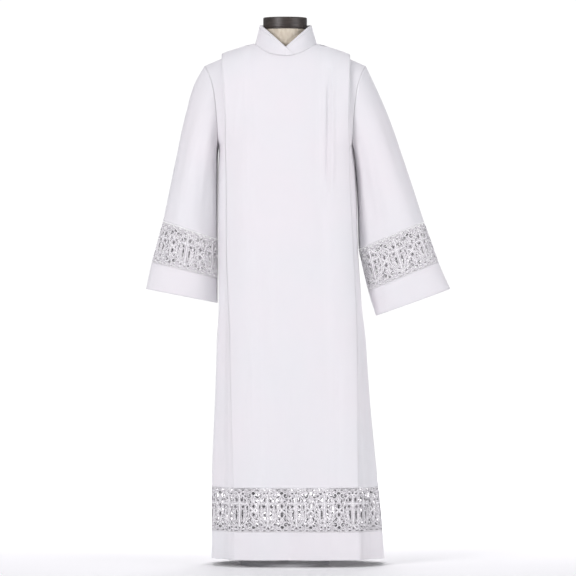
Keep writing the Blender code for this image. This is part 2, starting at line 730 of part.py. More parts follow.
def neckline(grids):
    """The neckline all round, as the panels' own top points, with the turn of each about the neck.
    The turn is 0 in front and 90 degrees to the right."""
    middle = len(STATIONS) // 2
    reach = int(np.argmax(panel_starts(-1.0)[middle:] <= 0.0))
    front = grids["front"][0, middle - reach:middle + reach + 1].copy()
    back = grids["back"][0, middle - reach + 1:middle + reach]
    front[[0, -1], 1] = 0.0
    ring = np.vstack([front[reach:], back[::-1], front[:reach]])
    turns = np.degrees(np.arctan2(ring[:, 0], -ring[:, 1])) % 360.0
    return ring[np.argsort(turns)], np.sort(turns)


def collar_lean(angle):
    """How far in the collar leans for each metre up, most at the sides of the neck."""
    return BACK_LEAN + (SIDE_LEAN - BACK_LEAN) * math.sin(math.radians(angle)) ** 4


def collar_top(low, angle):
    """Height of the collar's top edge over a point of its lower one: level behind, and in front
    where the leaning band meets the V, which is straight as seen from the front."""
    if 90.0 <= angle <= 270.0:
        return COLLAR_TOP_Z
    away = (low[0] - NOTCH_X) if angle < 90.0 else (NOTCH_X - low[0])
    lean = NOTCH_SLOPE * collar_lean(angle) * abs(math.sin(math.radians(angle)))
    return min((NOTCH_Z + NOTCH_SLOPE * away + lean * low[2]) / (1 + lean), COLLAR_TOP_Z)


def collar(grids, finish):
    """A standing band whose left end laps over its right end in front."""
    ring, turns = neckline(grids)
    own = np.concatenate([turns - 360.0, turns, turns + 360.0])
    between = (own[:-1] + own[1:]) / 2
    every = np.sort(np.concatenate([own, between, [COLLAR_START, COLLAR_END]]))
    columns = []
    for angle in every[(every >= COLLAR_START) & (every <= COLLAR_END)]:
        a = math.radians(angle)
        out = np.array([math.sin(a), -math.cos(a), 0.0])
        low = np.array([np.interp(angle, turns, ring[:, k], period=360.0) for k in range(3)])
        lap = COLLAR_LAP * float(step((angle - LAP_START) / LAP_RISE))
        low = low + np.array([0.0, 0.0, COLLAR_LIFT]) + out * lap
        high = low.copy()
        high[2] = collar_top(low, angle)
        high -= out * collar_lean(angle) * (high[2] - low[2])
        columns.append((low, (low + high) / 2, high))
    faces = grid_faces(len(columns), 3, closed=False)
    cloth("collar", np.vstack(columns), faces, finish, COLLAR_CLOTH)


def form_row(z):
    """A ring of the dress form's torso: the robe's own shape, drawn in, and blended into the neck."""
    half = float(read(FORM, FORM_COLUMNS, "half_width", z))
    lowered = FORM_DROP / math.cos(math.atan(SHOULDER_SLOPE))
    inset = FORM_NECK_INSET * float(step((z - FORM_INSET_Z) / FORM_INSET_RISE))
    widest = min(half, NECK_HALF + (NECK_POINT_Z - lowered - z) / SHOULDER_SLOPE - inset)
    neck = NECK_RADIUS * float(step((z - FORM_NECK_Z) / FORM_NECK_RISE))
    points = []
    for k in range(2 * FORM_HALF_STEPS):
        a = math.pi * k / FORM_HALF_STEPS
        x = widest * math.sin(a)
        face = -1.0 if math.cos(a) >= 0 else 1.0
        depth = float(read(FORM, FORM_COLUMNS, "front" if face < 0 else "back", z))
        top = float(ridge(abs(x) + inset)) - lowered - CHEST_Z
        over = math.sqrt(max(0.0, 1 - (max(z - CHEST_Z, 0.0) / top) ** 2))
        facing = max(0.0, 1 - (abs(x) / half) ** FORM_ACROSS_POWER) ** (1 / FORM_DEPTH_POWER)
        round_neck = math.sqrt(max(0.0, neck**2 - x**2))
        y = ((depth * over * facing) ** FORM_BLEND + round_neck**FORM_BLEND) ** (1 / FORM_BLEND)
        points.append((x, face * y, z))
    return points


def torso(finish):
    """The form's torso and neck in one smooth closed body."""
    rows = [form_row(z) for z in FORM_RINGS]
    turns = [math.pi * k / FORM_HALF_STEPS for k in range(2 * FORM_HALF_STEPS)]
    for z, across, deep in NECK_RINGS:
        rows.append([(across * math.sin(a), -deep * math.cos(a), z) for a in turns])
    points = [p for row in rows for p in row]
    count = len(turns)
    faces = grid_faces(len(rows), count, closed=True)
    faces.append(tuple(range(count))[::-1])
    faces.append(tuple(range(len(points) - count, len(points))))
    mesh = bpy.data.meshes.new("form_torso")
    mesh.from_pydata(points, [], faces)
    add_object("form_torso", mesh, finish)


def turned(name, profile, finish, steps):
    """A solid turned about the Z axis from a profile that runs down its outer side."""
    mesh = bpy.data.meshes.new(name)
    edges = [(k, k + 1) for k in range(len(profile) - 1)]
    mesh.from_pydata([(r, 0.0, z) for r, z in profile], edges, [])
    made = add_object(name, mesh, finish)
    screw = made.modifiers.new("Turned", "SCREW")
    screw.steps = steps
    screw.render_steps = steps
    screw.use_merge_vertices = True
    screw.merge_threshold = 0.00002
    screw.use_smooth_shade = True


def rounded_edge(radius, top, edge):
    """The profile of a disc's rounded upper edge."""
    corner = edge * (1 - math.sqrt(0.5))
    return [(radius - edge, top), (radius - corner, top - corner), (radius, top - edge)]


def neck_cap(finish):
    """The dark cap on the neck block, with a rounded rim and a shallow groove round its foot."""
    foot = [(CAP_RADIUS, CAP_LOW_Z + GROOVE_HIGH), (CAP_RADIUS - GROOVE, CAP_LOW_Z + GROOVE_MIDDLE),
            (CAP_RADIUS, CAP_LOW_Z + GROOVE_LOW), (CAP_RADIUS, CAP_LOW_Z)]
    rim = rounded_edge(CAP_RADIUS, CAP_TOP_Z, CAP_EDGE)
    profile = [(0.0, CAP_TOP_Z)] + rim + foot + [(0.0, CAP_LOW_Z)]
    turned("form_cap", profile, finish, CAP_STEPS)


def pole(finish):
    """The tube that carries the torso."""
    low, high = BASE_THICKNESS + FORM_SEAT, FORM_BOTTOM_Z - FORM_SEAT
    profile = [(0.0, high), (POLE_RADIUS, high), (POLE_RADIUS, low), (0.0, low)]
    turned("form_pole", profile, finish, POLE_STEPS)


def base_plate(finish):
    """The round plate on the floor."""
    rim = rounded_edge(BASE_RADIUS, BASE_THICKNESS, BASE_EDGE)
    profile = [(0.0, BASE_THICKNESS)] + rim + [(BASE_RADIUS, 0.0), (0.0, 0.0)]
    turned("form_base", profile, finish, BASE_STEPS)


for old in list(bpy.data.objects):
    bpy.data.objects.remove(old, do_unlink=True)
ROBE = collection("alb_robe")

white = material("white_cloth", WHITE, 0.85)
lace = material("white_lace", LACE_WHITE, 0.8)
linen = material("form_linen", LINEN, 0.9)
brown = material("cap_brown", CAP_BROWN, 0.45)
grey = material("stand_grey", STAND_GREY, 0.45)

body_grids = {}
for face_name, face_sign in (("front", -1.0), ("back", 1.0)):
    body_grids[face_name] = panel(face_name, face_sign, white)
    hem_lace(f"hem_lace_{face_name}", face_sign, lace)
    hem_band(f"hem_{face_name}", face_sign, white)
for arm in SLEEVES:
    arm_ring, arm_turns = sleeve(arm, body_grids, white)
    for lace_half in ("front", "back"):
        cuff_lace(arm, lace_half, arm_ring, arm_turns, lace)
    cuff(arm, arm_ring, arm_turns, white)
collar(body_grids, white)
torso(linen)
neck_cap(brown)
pole(grey)
base_plate(grey)
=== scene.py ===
import math

import bpy
import numpy as np
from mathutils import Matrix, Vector


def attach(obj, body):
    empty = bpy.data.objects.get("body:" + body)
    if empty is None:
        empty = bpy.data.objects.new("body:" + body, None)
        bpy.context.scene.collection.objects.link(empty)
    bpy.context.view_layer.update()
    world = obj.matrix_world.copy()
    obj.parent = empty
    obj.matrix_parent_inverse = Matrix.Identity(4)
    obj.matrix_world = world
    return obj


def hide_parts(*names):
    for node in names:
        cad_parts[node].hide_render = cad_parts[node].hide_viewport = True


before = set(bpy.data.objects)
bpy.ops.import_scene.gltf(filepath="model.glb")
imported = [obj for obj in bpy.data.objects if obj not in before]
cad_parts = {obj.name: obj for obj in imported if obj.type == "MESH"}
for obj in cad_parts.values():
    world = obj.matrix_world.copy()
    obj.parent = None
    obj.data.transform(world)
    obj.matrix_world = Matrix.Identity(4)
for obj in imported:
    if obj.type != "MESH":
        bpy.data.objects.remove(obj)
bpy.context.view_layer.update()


# Studio: a plain pale floor, large soft lamps, two in front, one above and two behind, and an even
# white room. The camera stands 12 m off, just above the robe's middle, so perspective is slight.
CAMERA_AT = (0.008, -12.0, 0.850)
CAMERA_AIM = (0.008, 0.0, 0.7725)
FRAME_HEIGHT = 1.613  # what the square frame takes in at the robe
SENSOR = 0.036
FLOOR_HALF = 5.0
ROOM_LIGHT = 0.30
ROOM_TINT = (0.90, 0.95, 1.0)
BACKDROP_LIGHT = 1.05  # the bright patch of wall straight behind the robe
BACKDROP_EDGE = (0.955, 0.985)  # how nearly straight behind it begins, and is whole
LAMP_TINT = (1.0, 0.965, 0.995)
# Place, width, power and what each lamp faces
LAMPS = {
    "lamp_left": ((-3.2, -4.2, 2.5), 1.8, 142.0, (0.0, 0.0, 0.8)),
    "lamp_right": ((4.3, -2.8, 1.5), 2.6, 92.0, (0.0, 0.0, 0.8)),
    "lamp_above": ((0.0, -0.3, 4.2), 2.4, 30.0, (0.0, 0.0, 0.8)),
    "lamp_behind": ((0.6, 4.4, 2.6), 2.6, 52.0, (0.0, 0.0, 0.8)),
    "lamp_floor": ((0.0, 3.4, 3.2), 3.6, 225.0, (0.0, 5.2, 0.0)),
}

camera = bpy.data.objects.new("camera", bpy.data.cameras.new("camera"))
camera.location = CAMERA_AT
aim = Vector(CAMERA_AIM) - Vector(CAMERA_AT)
camera.rotation_euler = aim.to_track_quat("-Z", "Y").to_euler()
camera.data.sensor_width = SENSOR * 1000
camera.data.lens = SENSOR * 1000 * aim.length / FRAME_HEIGHT
bpy.context.scene.collection.objects.link(camera)
bpy.context.scene.camera = camera
bpy.context.scene.view_settings.view_transform = "Standard"

for name, (place, width, power, facing) in LAMPS.items():
    light = bpy.data.lights.new(name, "AREA")
    light.shape = "SQUARE"
    light.size = width
    light.energy = power
    light.color = LAMP_TINT
    lamp = bpy.data.objects.new(name, light)
    lamp.location = place
    lamp.rotation_euler = (Vector(facing) - Vector(place)).to_track_quat("-Z", "Y").to_euler()
    bpy.context.scene.collection.objects.link(lamp)

room = bpy.data.worlds.new("room")
room.use_nodes = True
tree = room.node_tree
sky = tree.nodes["Background"]
way = tree.nodes.new("ShaderNodeTexCoord")
behind = tree.nodes.new("ShaderNodeSeparateXYZ")
patch = tree.nodes.new("ShaderNodeMapRange")
patch.interpolation_type = "SMOOTHSTEP"
patch.inputs["From Min"].default_value, patch.inputs["From Max"].default_value = BACKDROP_EDGE
tint = tree.nodes.new("ShaderNodeMix")
tint.data_type = "RGBA"
tint.inputs["A"].default_value = (*(ROOM_LIGHT * c for c in ROOM_TINT), 1.0)
tint.inputs["B"].default_value = (BACKDROP_LIGHT, BACKDROP_LIGHT, BACKDROP_LIGHT, 1.0)
tree.links.new(way.outputs["Generated"], behind.inputs["Vector"])
tree.links.new(behind.outputs["Y"], patch.inputs["Value"])
tree.links.new(patch.outputs["Result"], tint.inputs["Factor"])
tree.links.new(tint.outputs["Result"], sky.inputs["Color"])
bpy.context.scene.world = room


def plain(name, colour, roughness):
    """A material of one colour, to be given its detail after."""
    made = bpy.data.materials.new(name)
    made.use_nodes = True
    shader = made.node_tree.nodes["Principled BSDF"]
    shader.inputs["Base Color"].default_value = (*colour, 1.0)
    shader.inputs["Roughness"].default_value = roughness
    return made, made.node_tree, shader


def mesh_piece(name, points, faces, finish, corner_uv=None, sharp=None):
    """An object from points and a list of faces, with smooth shading and a cloth map in metres."""
    mesh = bpy.data.meshes.new(name)
    mesh.from_pydata(np.reshape(points, (-1, 3)).tolist(), [], faces)
    mesh.shade_smooth()
    if sharp is not None:
        mesh.set_sharp_from_angle(angle=math.radians(sharp))
    if corner_uv is not None:
        layer = mesh.uv_layers.new(name="cloth")
        layer.data.foreach_set("uv", np.asarray(corner_uv, float).ravel())
    mesh.materials.append(finish)
    made = bpy.data.objects.new(name, mesh)
    bpy.context.scene.collection.objects.link(made)
    return made


FLOOR_PALE, floor_tree, floor_shader = plain("floor_pale", (0.96, 0.96, 0.96), 0.9)
floor_grain = floor_tree.nodes.new("ShaderNodeTexNoise")
floor_grain.inputs["Scale"].default_value = 3.0
floor_bump = floor_tree.nodes.new("ShaderNodeBump")
floor_bump.inputs["Distance"].default_value = 0.0002
floor_tree.links.new(floor_grain.outputs["Fac"], floor_bump.inputs["Height"])
floor_tree.links.new(floor_bump.outputs["Normal"], floor_shader.inputs["Normal"])
h = FLOOR_HALF
floor = mesh_piece("floor", [(-h, -h, 0), (h, -h, 0), (h, h, 0), (-h, h, 0)], [(0, 1, 2, 3)],
                   FLOOR_PALE)


# Stand: a steel base plate and tube, powder coated pale grey. The tube carries the torso.
BASE_RADIUS, BASE_THICKNESS, BASE_EDGE = 0.125, 0.008, 0.003
POLE_RADIUS = 0.0125
FORM_BOTTOM_Z = 0.820
SEAT = 0.0003


def grey_coat():
    """Powder coat: fine orange peel in the bump, and roughness that drifts a little."""
    made, tree, shader = plain("stand_grey", (0.62, 0.62, 0.63), 0.45)
    place = tree.nodes.new("ShaderNodeTexCoord")
    peel = tree.nodes.new("ShaderNodeTexNoise")
    peel.inputs["Scale"].default_value = 900.0
    bump = tree.nodes.new("ShaderNodeBump")
    bump.inputs["Distance"].default_value = 0.00005
    bump.inputs["Strength"].default_value = 0.5
    drift = tree.nodes.new("ShaderNodeTexNoise")
    drift.inputs["Scale"].default_value = 14.0
    rough = tree.nodes.new("ShaderNodeMapRange")
    rough.inputs["To Min"].default_value = 0.36
    rough.inputs["To Max"].default_value = 0.56
    tree.links.new(place.outputs["Object"], peel.inputs["Vector"])
    tree.links.new(place.outputs["Object"], drift.inputs["Vector"])
    tree.links.new(peel.outputs["Fac"], bump.inputs["Height"])
    tree.links.new(drift.outputs["Fac"], rough.inputs["Value"])
    tree.links.new(rough.outputs["Result"], shader.inputs["Roughness"])
    tree.links.new(bump.outputs["Normal"], shader.inputs["Normal"])
    return made


def quads(rows, across, closed=False, flip=False):
    """Corners of a grid's quads, as rows and columns: along a row, down, and back. A closed grid's
    last column joins its first."""
    columns = across if closed else across - 1
    i, j = np.meshgrid(np.arange(rows - 1), np.arange(columns), indexing="ij")
    i, j = i.ravel(), j.ravel()
    corners = np.stack([np.stack([i, i, i + 1, i + 1], 1), np.stack([j, j + 1, j + 1, j], 1)], -1)
    return corners[:, ::-1] if flip else corners


def turned(name, profile, steps, finish, sharp=40.0):
    """A solid of revolution: the profile's radius and height, swept once round the Z axis, with a
    flat disc at each end."""
    radius, height = np.array(profile, float).T
    a = np.linspace(0, 2 * math.pi, steps, endpoint=False)
    points = np.stack([np.outer(radius, np.cos(a)), np.outer(radius, np.sin(a)),
                       np.repeat(height[:, None], steps, 1)], -1)
    corners = quads(len(profile), steps, closed=True, flip=height[0] < height[-1])
    faces = (corners[..., 0] * steps + corners[..., 1] % steps)[:, ::-1].tolist()
    last = (len(profile) - 1) * steps
    rims = [list(range(steps)), list(range(last, last + steps))]
    rims[int(height[0] > height[-1])].reverse()
    return mesh_piece(name, points, faces + rims, finish, sharp=sharp)


def rounded_rim(radius, top, edge, steps=6):
    """Profile points round an upper edge: a quarter circle from the top face to the side."""
    a = np.linspace(0, math.pi / 2, steps)
    return [(radius - edge + edge * math.sin(t), top - edge + edge * math.cos(t)) for t in a]


STAND_GREY = grey_coat()
base_plate = turned("base_plate", rounded_rim(BASE_RADIUS, BASE_THICKNESS, BASE_EDGE)
                    + [(BASE_RADIUS, 0.0006), (BASE_RADIUS - 0.0006, 0.0)], 160, STAND_GREY)
pole = turned("pole", [(POLE_RADIUS, FORM_BOTTOM_Z - SEAT), (POLE_RADIUS, BASE_THICKNESS + SEAT)],
              64, STAND_GREY)
for made, node in ((base_plate, "form_base"), (pole, "form_pole")):
    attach(made, "root")
    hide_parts(node)


# Dress form: a padded torso and neck block under tight cream linen, seamed down the middle, front
# and back. Its surface lies just inside the robe's own, so the robe's shape is worked out here too.
CHEST_Z = 1.250
NECK_POINT_Z = 1.454
NECK_HALF = 0.087
SHOULDER_SLOPE = 0.44
NECK_RADIUS = 0.0605
CAP_LOW_Z = 1.496
FORM_DROP = 0.0011
FORM_NECK_INSET = 0.010
FORM_BLEND = 8
FORM_SEAM = 0.0009  # depth of the seam's groove
FORM_COLUMNS = ("height", "half_width", "front", "back")
FORM = (
    (0.820, 0.158, 0.092, 0.100),
    (0.900, 0.164, 0.098, 0.106),
    (1.000, 0.158, 0.094, 0.098),
    (1.090, 0.150, 0.090, 0.092),
    (1.180, 0.158, 0.098, 0.100),
    (1.250, 0.168, 0.104, 0.106),
    (1.300, 0.176, 0.104, 0.107),
    (1.340, 0.186, 0.104, 0.106),
    (1.370, 0.198, 0.103, 0.105),
    (1.395, 0.216, 0.102, 0.104),
    (1.430, 0.260, 0.101, 0.103),
    (1.500, 0.300, 0.100, 0.101),
)
NECK_COLUMNS = ("height", "across", "deep")
NECK_RINGS = (
    (1.4540, 0.0750, 0.0645),
    (1.4630, 0.0690, 0.0625),
    (1.4760, 0.0625, 0.0610),
    (1.4997, 0.0605, 0.0605),
)


def smooth(x, known, values):
    """A smooth curve through a table's values: a cubic between rows, with each row's own slope."""
    known, values = np.asarray(known, float), np.asarray(values, float)
    slopes = np.gradient(values, known)
    x = np.clip(x, known[0], known[-1])
    i = np.clip(np.searchsorted(known, x) - 1, 0, len(known) - 2)
    span = known[i + 1] - known[i]
    t = (x - known[i]) / span
    first = (1 + 2 * t) * (1 - t) ** 2 * values[i] + t * (1 - t) ** 2 * span * slopes[i]
    second = t * t * (3 - 2 * t) * values[i + 1] + t * t * (t - 1) * span * slopes[i + 1]
    return first + second


def read(table, columns, name, at):
    """A named column of a table, at any value of the table's first column."""
    rows = np.array(table)
    return smooth(at, rows[:, 0], rows[:, columns.index(name)])


def step(x):
    """0 below 0, 1 above 1, and a smooth rise between."""
    x = np.clip(x, 0.0, 1.0)
    return x * x * (3 - 2 * x)


def ridge(x):
    """Height of the shoulder's ridge."""
    return NECK_POINT_Z - SHOULDER_SLOPE * (np.abs(x) - NECK_HALF)


def torso_rings(z, a):
    """Rings of the torso: the robe's own oval drawn in, flattened over the shoulders, and blended
    by a high power into the round of the neck."""
    half = read(FORM, FORM_COLUMNS, "half_width", z)
    lowered = FORM_DROP / math.cos(math.atan(SHOULDER_SLOPE))
    inset = FORM_NECK_INSET * step((z - 1.410) / 0.040)
    widest = np.minimum(half, NECK_HALF + (NECK_POINT_Z - lowered - z) / SHOULDER_SLOPE - inset)
    neck = NECK_RADIUS * step((z - 1.360) / 0.080)
    x = widest * np.sin(a)
    front = np.cos(a) >= 0
    depth = np.where(front, read(FORM, FORM_COLUMNS, "front", z),
                     read(FORM, FORM_COLUMNS, "back", z))
    top = ridge(np.abs(x) + inset) - lowered - CHEST_Z
    over = np.sqrt(np.maximum(0.0, 1 - (np.maximum(z - CHEST_Z, 0.0) / top) ** 2))
    facing = np.maximum(0.0, 1 - (np.abs(x) / half) ** 2.6) ** (1 / 2.2)
    round_neck = np.sqrt(np.maximum(0.0, neck**2 - x**2))
    y = ((depth * over * facing) ** FORM_BLEND + round_neck**FORM_BLEND) ** (1 / FORM_BLEND)
    return np.stack(np.broadcast_arrays(x, np.where(front, -y, y), z), -1)


def weave_bump(tree, shader, source, threads, distance, strength=0.6):
    """Plain weave: two wave textures cross, one along the warp and one along the weft, and a noise
    makes some threads thicker."""
    place = tree.nodes.new("ShaderNodeTexCoord")
    waves = []
    for direction in ("X", "Y"):
        wave = tree.nodes.new("ShaderNodeTexWave")
        wave.bands_direction = direction
        wave.inputs["Scale"].default_value = math.pi / 10 / threads
        wave.inputs["Distortion"].default_value = 0.4
        tree.links.new(place.outputs[source], wave.inputs["Vector"])
        waves.append(wave)
    slub = tree.nodes.new("ShaderNodeTexNoise")
    slub.inputs["Scale"].default_value = 0.12 / threads
    slub.inputs["Detail"].default_value = 3.0
    tree.links.new(place.outputs[source], slub.inputs["Vector"])
    woven = tree.nodes.new("ShaderNodeMath")
    woven.operation = "MULTIPLY"
    tree.links.new(waves[0].outputs["Fac"], woven.inputs[0])
    tree.links.new(waves[1].outputs["Fac"], woven.inputs[1])
    total = tree.nodes.new("ShaderNodeMath")
    total.operation = "ADD"
    tree.links.new(woven.outputs[0], total.inputs[0])
    tree.links.new(slub.outputs["Fac"], total.inputs[1])
    bump = tree.nodes.new("ShaderNodeBump")
    bump.inputs["Distance"].default_value = distance
    bump.inputs["Strength"].default_value = strength
    tree.links.new(total.outputs[0], bump.inputs["Height"])
    tree.links.new(bump.outputs["Normal"], shader.inputs["Normal"])
    return place


def two_tone(tree, shader, place, source, first, second, scale):
    """Colour that drifts between two near tones, by a soft noise."""
    drift = tree.nodes.new("ShaderNodeTexNoise")
    drift.inputs["Scale"].default_value = scale
    drift.inputs["Detail"].default_value = 2.0
    tree.links.new(place.outputs[source], drift.inputs["Vector"])
    ramp = tree.nodes.new("ShaderNodeValToRGB")
    ramp.color_ramp.elements[0].position = 0.35
    ramp.color_ramp.elements[0].color = (*first, 1.0)
    ramp.color_ramp.elements[1].position = 0.65
    ramp.color_ramp.elements[1].color = (*second, 1.0)
    tree.links.new(drift.outputs["Fac"], ramp.inputs["Fac"])
    tree.links.new(ramp.outputs["Color"], shader.inputs["Base Color"])


FORM_LINEN, linen_tree, linen_shader = plain("form_linen", (0.72, 0.65, 0.54), 0.9)
linen_shader.inputs["Sheen Weight"].default_value = 0.2
linen_place = weave_bump(linen_tree, linen_shader, "UV", 0.0009, 0.00018)
two_tone(linen_tree, linen_shader, linen_place, "UV", (0.66, 0.58, 0.46), (0.75, 0.68, 0.56), 60.0)

FORM_ROUND = 128
turns_round = math.pi * 2 * np.arange(FORM_ROUND) / FORM_ROUND
low_rings = torso_rings(np.linspace(FORM_BOTTOM_Z, 1.450, 80)[:, None], turns_round[None])
neck_z = np.linspace(1.4545, CAP_LOW_Z - SEAT, 14)[:, None]
neck_across = read(NECK_RINGS, NECK_COLUMNS, "across", neck_z)
neck_deep = read(NECK_RINGS, NECK_COLUMNS, "deep", neck_z)
high_rings = np.stack(np.broadcast_arrays(neck_across * np.sin(turns_round),
                                          -neck_deep * np.cos(turns_round), neck_z), -1)
torso_points = np.concatenate([low_rings, high_rings])
groove = FORM_SEAM * np.exp(-((torso_points[..., 0] / 0.0016) ** 2))
torso_points[..., 1] -= np.sign(torso_points[..., 1]) * groove
torso_corners = quads(len(torso_points), FORM_ROUND, closed=True, flip=False)
torso_faces = (torso_corners[..., 0] * FORM_ROUND + torso_corners[..., 1] % FORM_ROUND).tolist()
torso_last = (len(torso_points) - 1) * FORM_ROUND
torso_faces.append(list(range(FORM_ROUND))[::-1])
torso_faces.append(list(range(torso_last, torso_last + FORM_ROUND)))
torso_heights = torso_points[:, 0, 2]
torso_uv = np.stack([torso_corners[..., 1] * 0.9 / FORM_ROUND,
                     torso_heights[torso_corners[..., 0]]], -1)
disc_uv = torso_points.reshape(-1, 3)[torso_faces[-2] + torso_faces[-1]][:, :2]
torso = mesh_piece("torso", torso_points, torso_faces, FORM_LINEN,
                   np.vstack([torso_uv.reshape(-1, 2), disc_uv]), sharp=60.0)
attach(torso, "root")
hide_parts("form_torso")


# Neck cap: a turned disc of dark stained wood that closes the neck block, with a rounded rim and
# a groove round its foot.
CAP_RADIUS, CAP_TOP_Z, CAP_EDGE = 0.0615, 1.529, 0.0025


def dark_wood():
    """Stained wood: long dark grain lines from a stretched noise, under a thin satin coat."""
    made, tree, shader = plain("cap_brown", (0.075, 0.060, 0.052), 0.45)
    shader.inputs["Coat Weight"].default_value = 0.12
    shader.inputs["Coat Roughness"].default_value = 0.40
    place = tree.nodes.new("ShaderNodeTexCoord")
    stretch = tree.nodes.new("ShaderNodeMapping")
    stretch.inputs["Scale"].default_value = (18.0, 60.0, 260.0)
    grain = tree.nodes.new("ShaderNodeTexNoise")
    grain.inputs["Scale"].default_value = 1.0
    grain.inputs["Detail"].default_value = 5.0
    ramp = tree.nodes.new("ShaderNodeValToRGB")
    ramp.color_ramp.elements[0].position = 0.30
    ramp.color_ramp.elements[0].color = (0.018, 0.013, 0.011, 1.0)
    ramp.color_ramp.elements[1].position = 0.72
    ramp.color_ramp.elements[1].color = (0.065, 0.050, 0.042, 1.0)
    bump = tree.nodes.new("ShaderNodeBump")
    bump.inputs["Distance"].default_value = 0.0001
    bump.inputs["Strength"].default_value = 0.4
    tree.links.new(place.outputs["Object"], stretch.inputs["Vector"])
    tree.links.new(stretch.outputs["Vector"], grain.inputs["Vector"])
    tree.links.new(grain.outputs["Fac"], ramp.inputs["Fac"])
    tree.links.new(ramp.outputs["Color"], shader.inputs["Base Color"])
    tree.links.new(grain.outputs["Fac"], bump.inputs["Height"])
    tree.links.new(bump.outputs["Normal"], shader.inputs["Normal"])
    return made


groove_turns = np.linspace(0, math.pi, 9)
cap_foot = [(CAP_RADIUS - 0.0010 * math.sin(t), CAP_LOW_Z + 0.0055 - 0.0027 * t / math.pi)
            for t in groove_turns]
neck_cap = turned("neck_cap", rounded_rim(CAP_RADIUS, CAP_TOP_Z, CAP_EDGE, 8) + cap_foot
                  + [(CAP_RADIUS, CAP_LOW_Z + 0.0006), (CAP_RADIUS - 0.0006, CAP_LOW_Z)],
                  128, dark_wood())
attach(neck_cap, "root")
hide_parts("form_cap")


# Front and back: white plain-woven cloth, each one panel from the shoulder seams and neckline to
# the hem lace, with a knife pleat pressed in at each side. Right on the form, loose below it.
CLOTH = 0.0012
SEAM = 0.0002
LACE_LOW_Z = 0.098
LACE_TOP_Z = 0.218
ARMPIT_Z = 1.165
FRONT_NECK_Z = 1.420
BACK_NECK_Z = 1.446
SHOULDER_HALF = 0.227
ACROSS_POWER = 3.0
DEPTH_POWER = 2.8
SECTION_COLUMNS = ("height", "left", "right", "front", "back")
SECTIONS = (
    (0.020, -0.202, 0.274, 0.156, 0.162),
    (0.100, -0.202, 0.269, 0.152, 0.158),
    (0.213, -0.202, 0.258, 0.147, 0.152),
    (0.320, -0.199, 0.246, 0.142, 0.147),
    (0.460, -0.192, 0.232, 0.137, 0.141),
    (0.600, -0.187, 0.222, 0.132, 0.136),
    (0.740, -0.1855, 0.213, 0.128, 0.132),
    (0.880, -0.1872, 0.2035, 0.125, 0.129),
    (1.020, -0.1875, 0.2002, 0.122, 0.127),
    (1.110, -0.1866, 0.1962, 0.121, 0.126),
    (1.150, -0.1850, 0.1928, 0.121, 0.126),
    (1.165, -0.185, 0.192, 0.121, 0.126),
    (1.193, -0.196, 0.202, 0.121, 0.126),
    (1.222, -0.209, 0.214, 0.120, 0.125),
    (1.250, -0.222, 0.226, 0.120, 0.125),
    (1.300, -0.244, 0.246, 0.119, 0.124),
    (1.350, -0.280, 0.280, 0.118, 0.122),
    (1.400, -0.320, 0.320, 0.117, 0.120),
    (1.500, -0.380, 0.380, 0.115, 0.116),
)
PLEAT_COLUMNS = ("height", "front_left", "front_right", "back_left", "back_right")
PLEATS = (
    (0.020, -0.140, 0.206, -0.134, 0.192),
    (0.235, -0.142, 0.200, -0.136, 0.188),
    (0.460, -0.147, 0.197, -0.141, 0.184),
    (0.685, -0.151, 0.193, -0.147, 0.180),
    (0.850, -0.157, 0.185, -0.152, 0.174),
    (1.130, -0.159, 0.173, -0.157, 0.165),
    (1.420, -0.173, 0.177, -0.166, 0.166),
)
PLEAT_DEPTH = 0.052
FOLD_RADIUS = 0.0032
TUCK_RADIUS = 0.0018
PANEL_REST = 0.0025
PANEL_SETTLE = 0.030
NECK_SHARE = 0.49
NECKLINE_POWER = 2.2
ARMHOLE_COLUMNS = ("height", "across")
ARMHOLE = (
    (1.193, 0.187),
    (1.222, 0.188),
    (1.250, 0.190),
    (1.300, 0.195),
    (1.345, 0.203),
    (1.375, 0.214),
    (1.400, 0.227),
)
# Folds: across, width, depth, low end, high end and lean. The first of each list are the main ones.
FRONT_FOLDS = (
    (0.098, 0.030, -0.0065, 0.96, 1.42, 0.01),
    (0.1165, 0.0065, -0.0080, 0.98, 1.42, 0.01),
    (-0.105, 0.034, 0.0045, 0.70, 1.42, 0.00),
    (0.035, 0.034, -0.0080, -0.30, 0.62, -0.09),
    (0.100, 0.040, 0.0050, -0.30, 0.80, -0.05),
    (-0.070, 0.045, 0.0050, -0.30, 0.75, 0.03),
    (0.1265, 0.0070, 0.0052, 0.98, 1.42, 0.01),
    (-0.126, 0.011, -0.0024, 1.10, 1.38, 0.02),
    (0.030, 0.014, -0.0022, 0.22, 0.58, -0.06),
    (-0.030, 0.016, 0.0020, 0.55, 0.98, 0.02),
    (-0.105, 0.012, -0.0021, 0.30, 0.66, 0.01),
    (0.140, 0.013, -0.0022, 0.24, 0.62, 0.02),
    (0.060, 0.018, 0.0019, 0.66, 1.02, 0.02),
)
BACK_FOLDS = (
    (-0.060, 0.035, -0.0070, -0.30, 0.90, 0.04),
    (0.020, 0.040, 0.0060, -0.30, 0.80, -0.03),
    (0.090, 0.030, -0.0060, -0.30, 0.70, -0.05),
    (-0.010, 0.050, -0.0040, 0.90, 1.42, 0.00),
    (0.110, 0.010, 0.0014, 0.98, 1.36, -0.02),
    (-0.118, 0.010, -0.0014, 0.92, 1.30, 0.02),
    (-0.020, 0.012, -0.0012, 0.26, 0.70, 0.03),
    (0.058, 0.013, 0.0012, 0.30, 0.84, -0.02),
    (-0.104, 0.011, 0.0012, 0.24, 0.60, 0.01),
    (0.004, 0.015, 0.0010, 0.72, 1.10, 0.01),
)
SIDE_FOLDS = (
    (0.30, 0.14, -0.0080, -0.30, 0.85, 0.00),
    (0.64, 0.14, 0.0080, -0.30, 0.75, 0.00),
)
FOLD_FADE = 0.14
WELT_HEIGHT = 0.008  # the turned edge of the cloth above the lace
WELT_THICKNESS = 0.0006
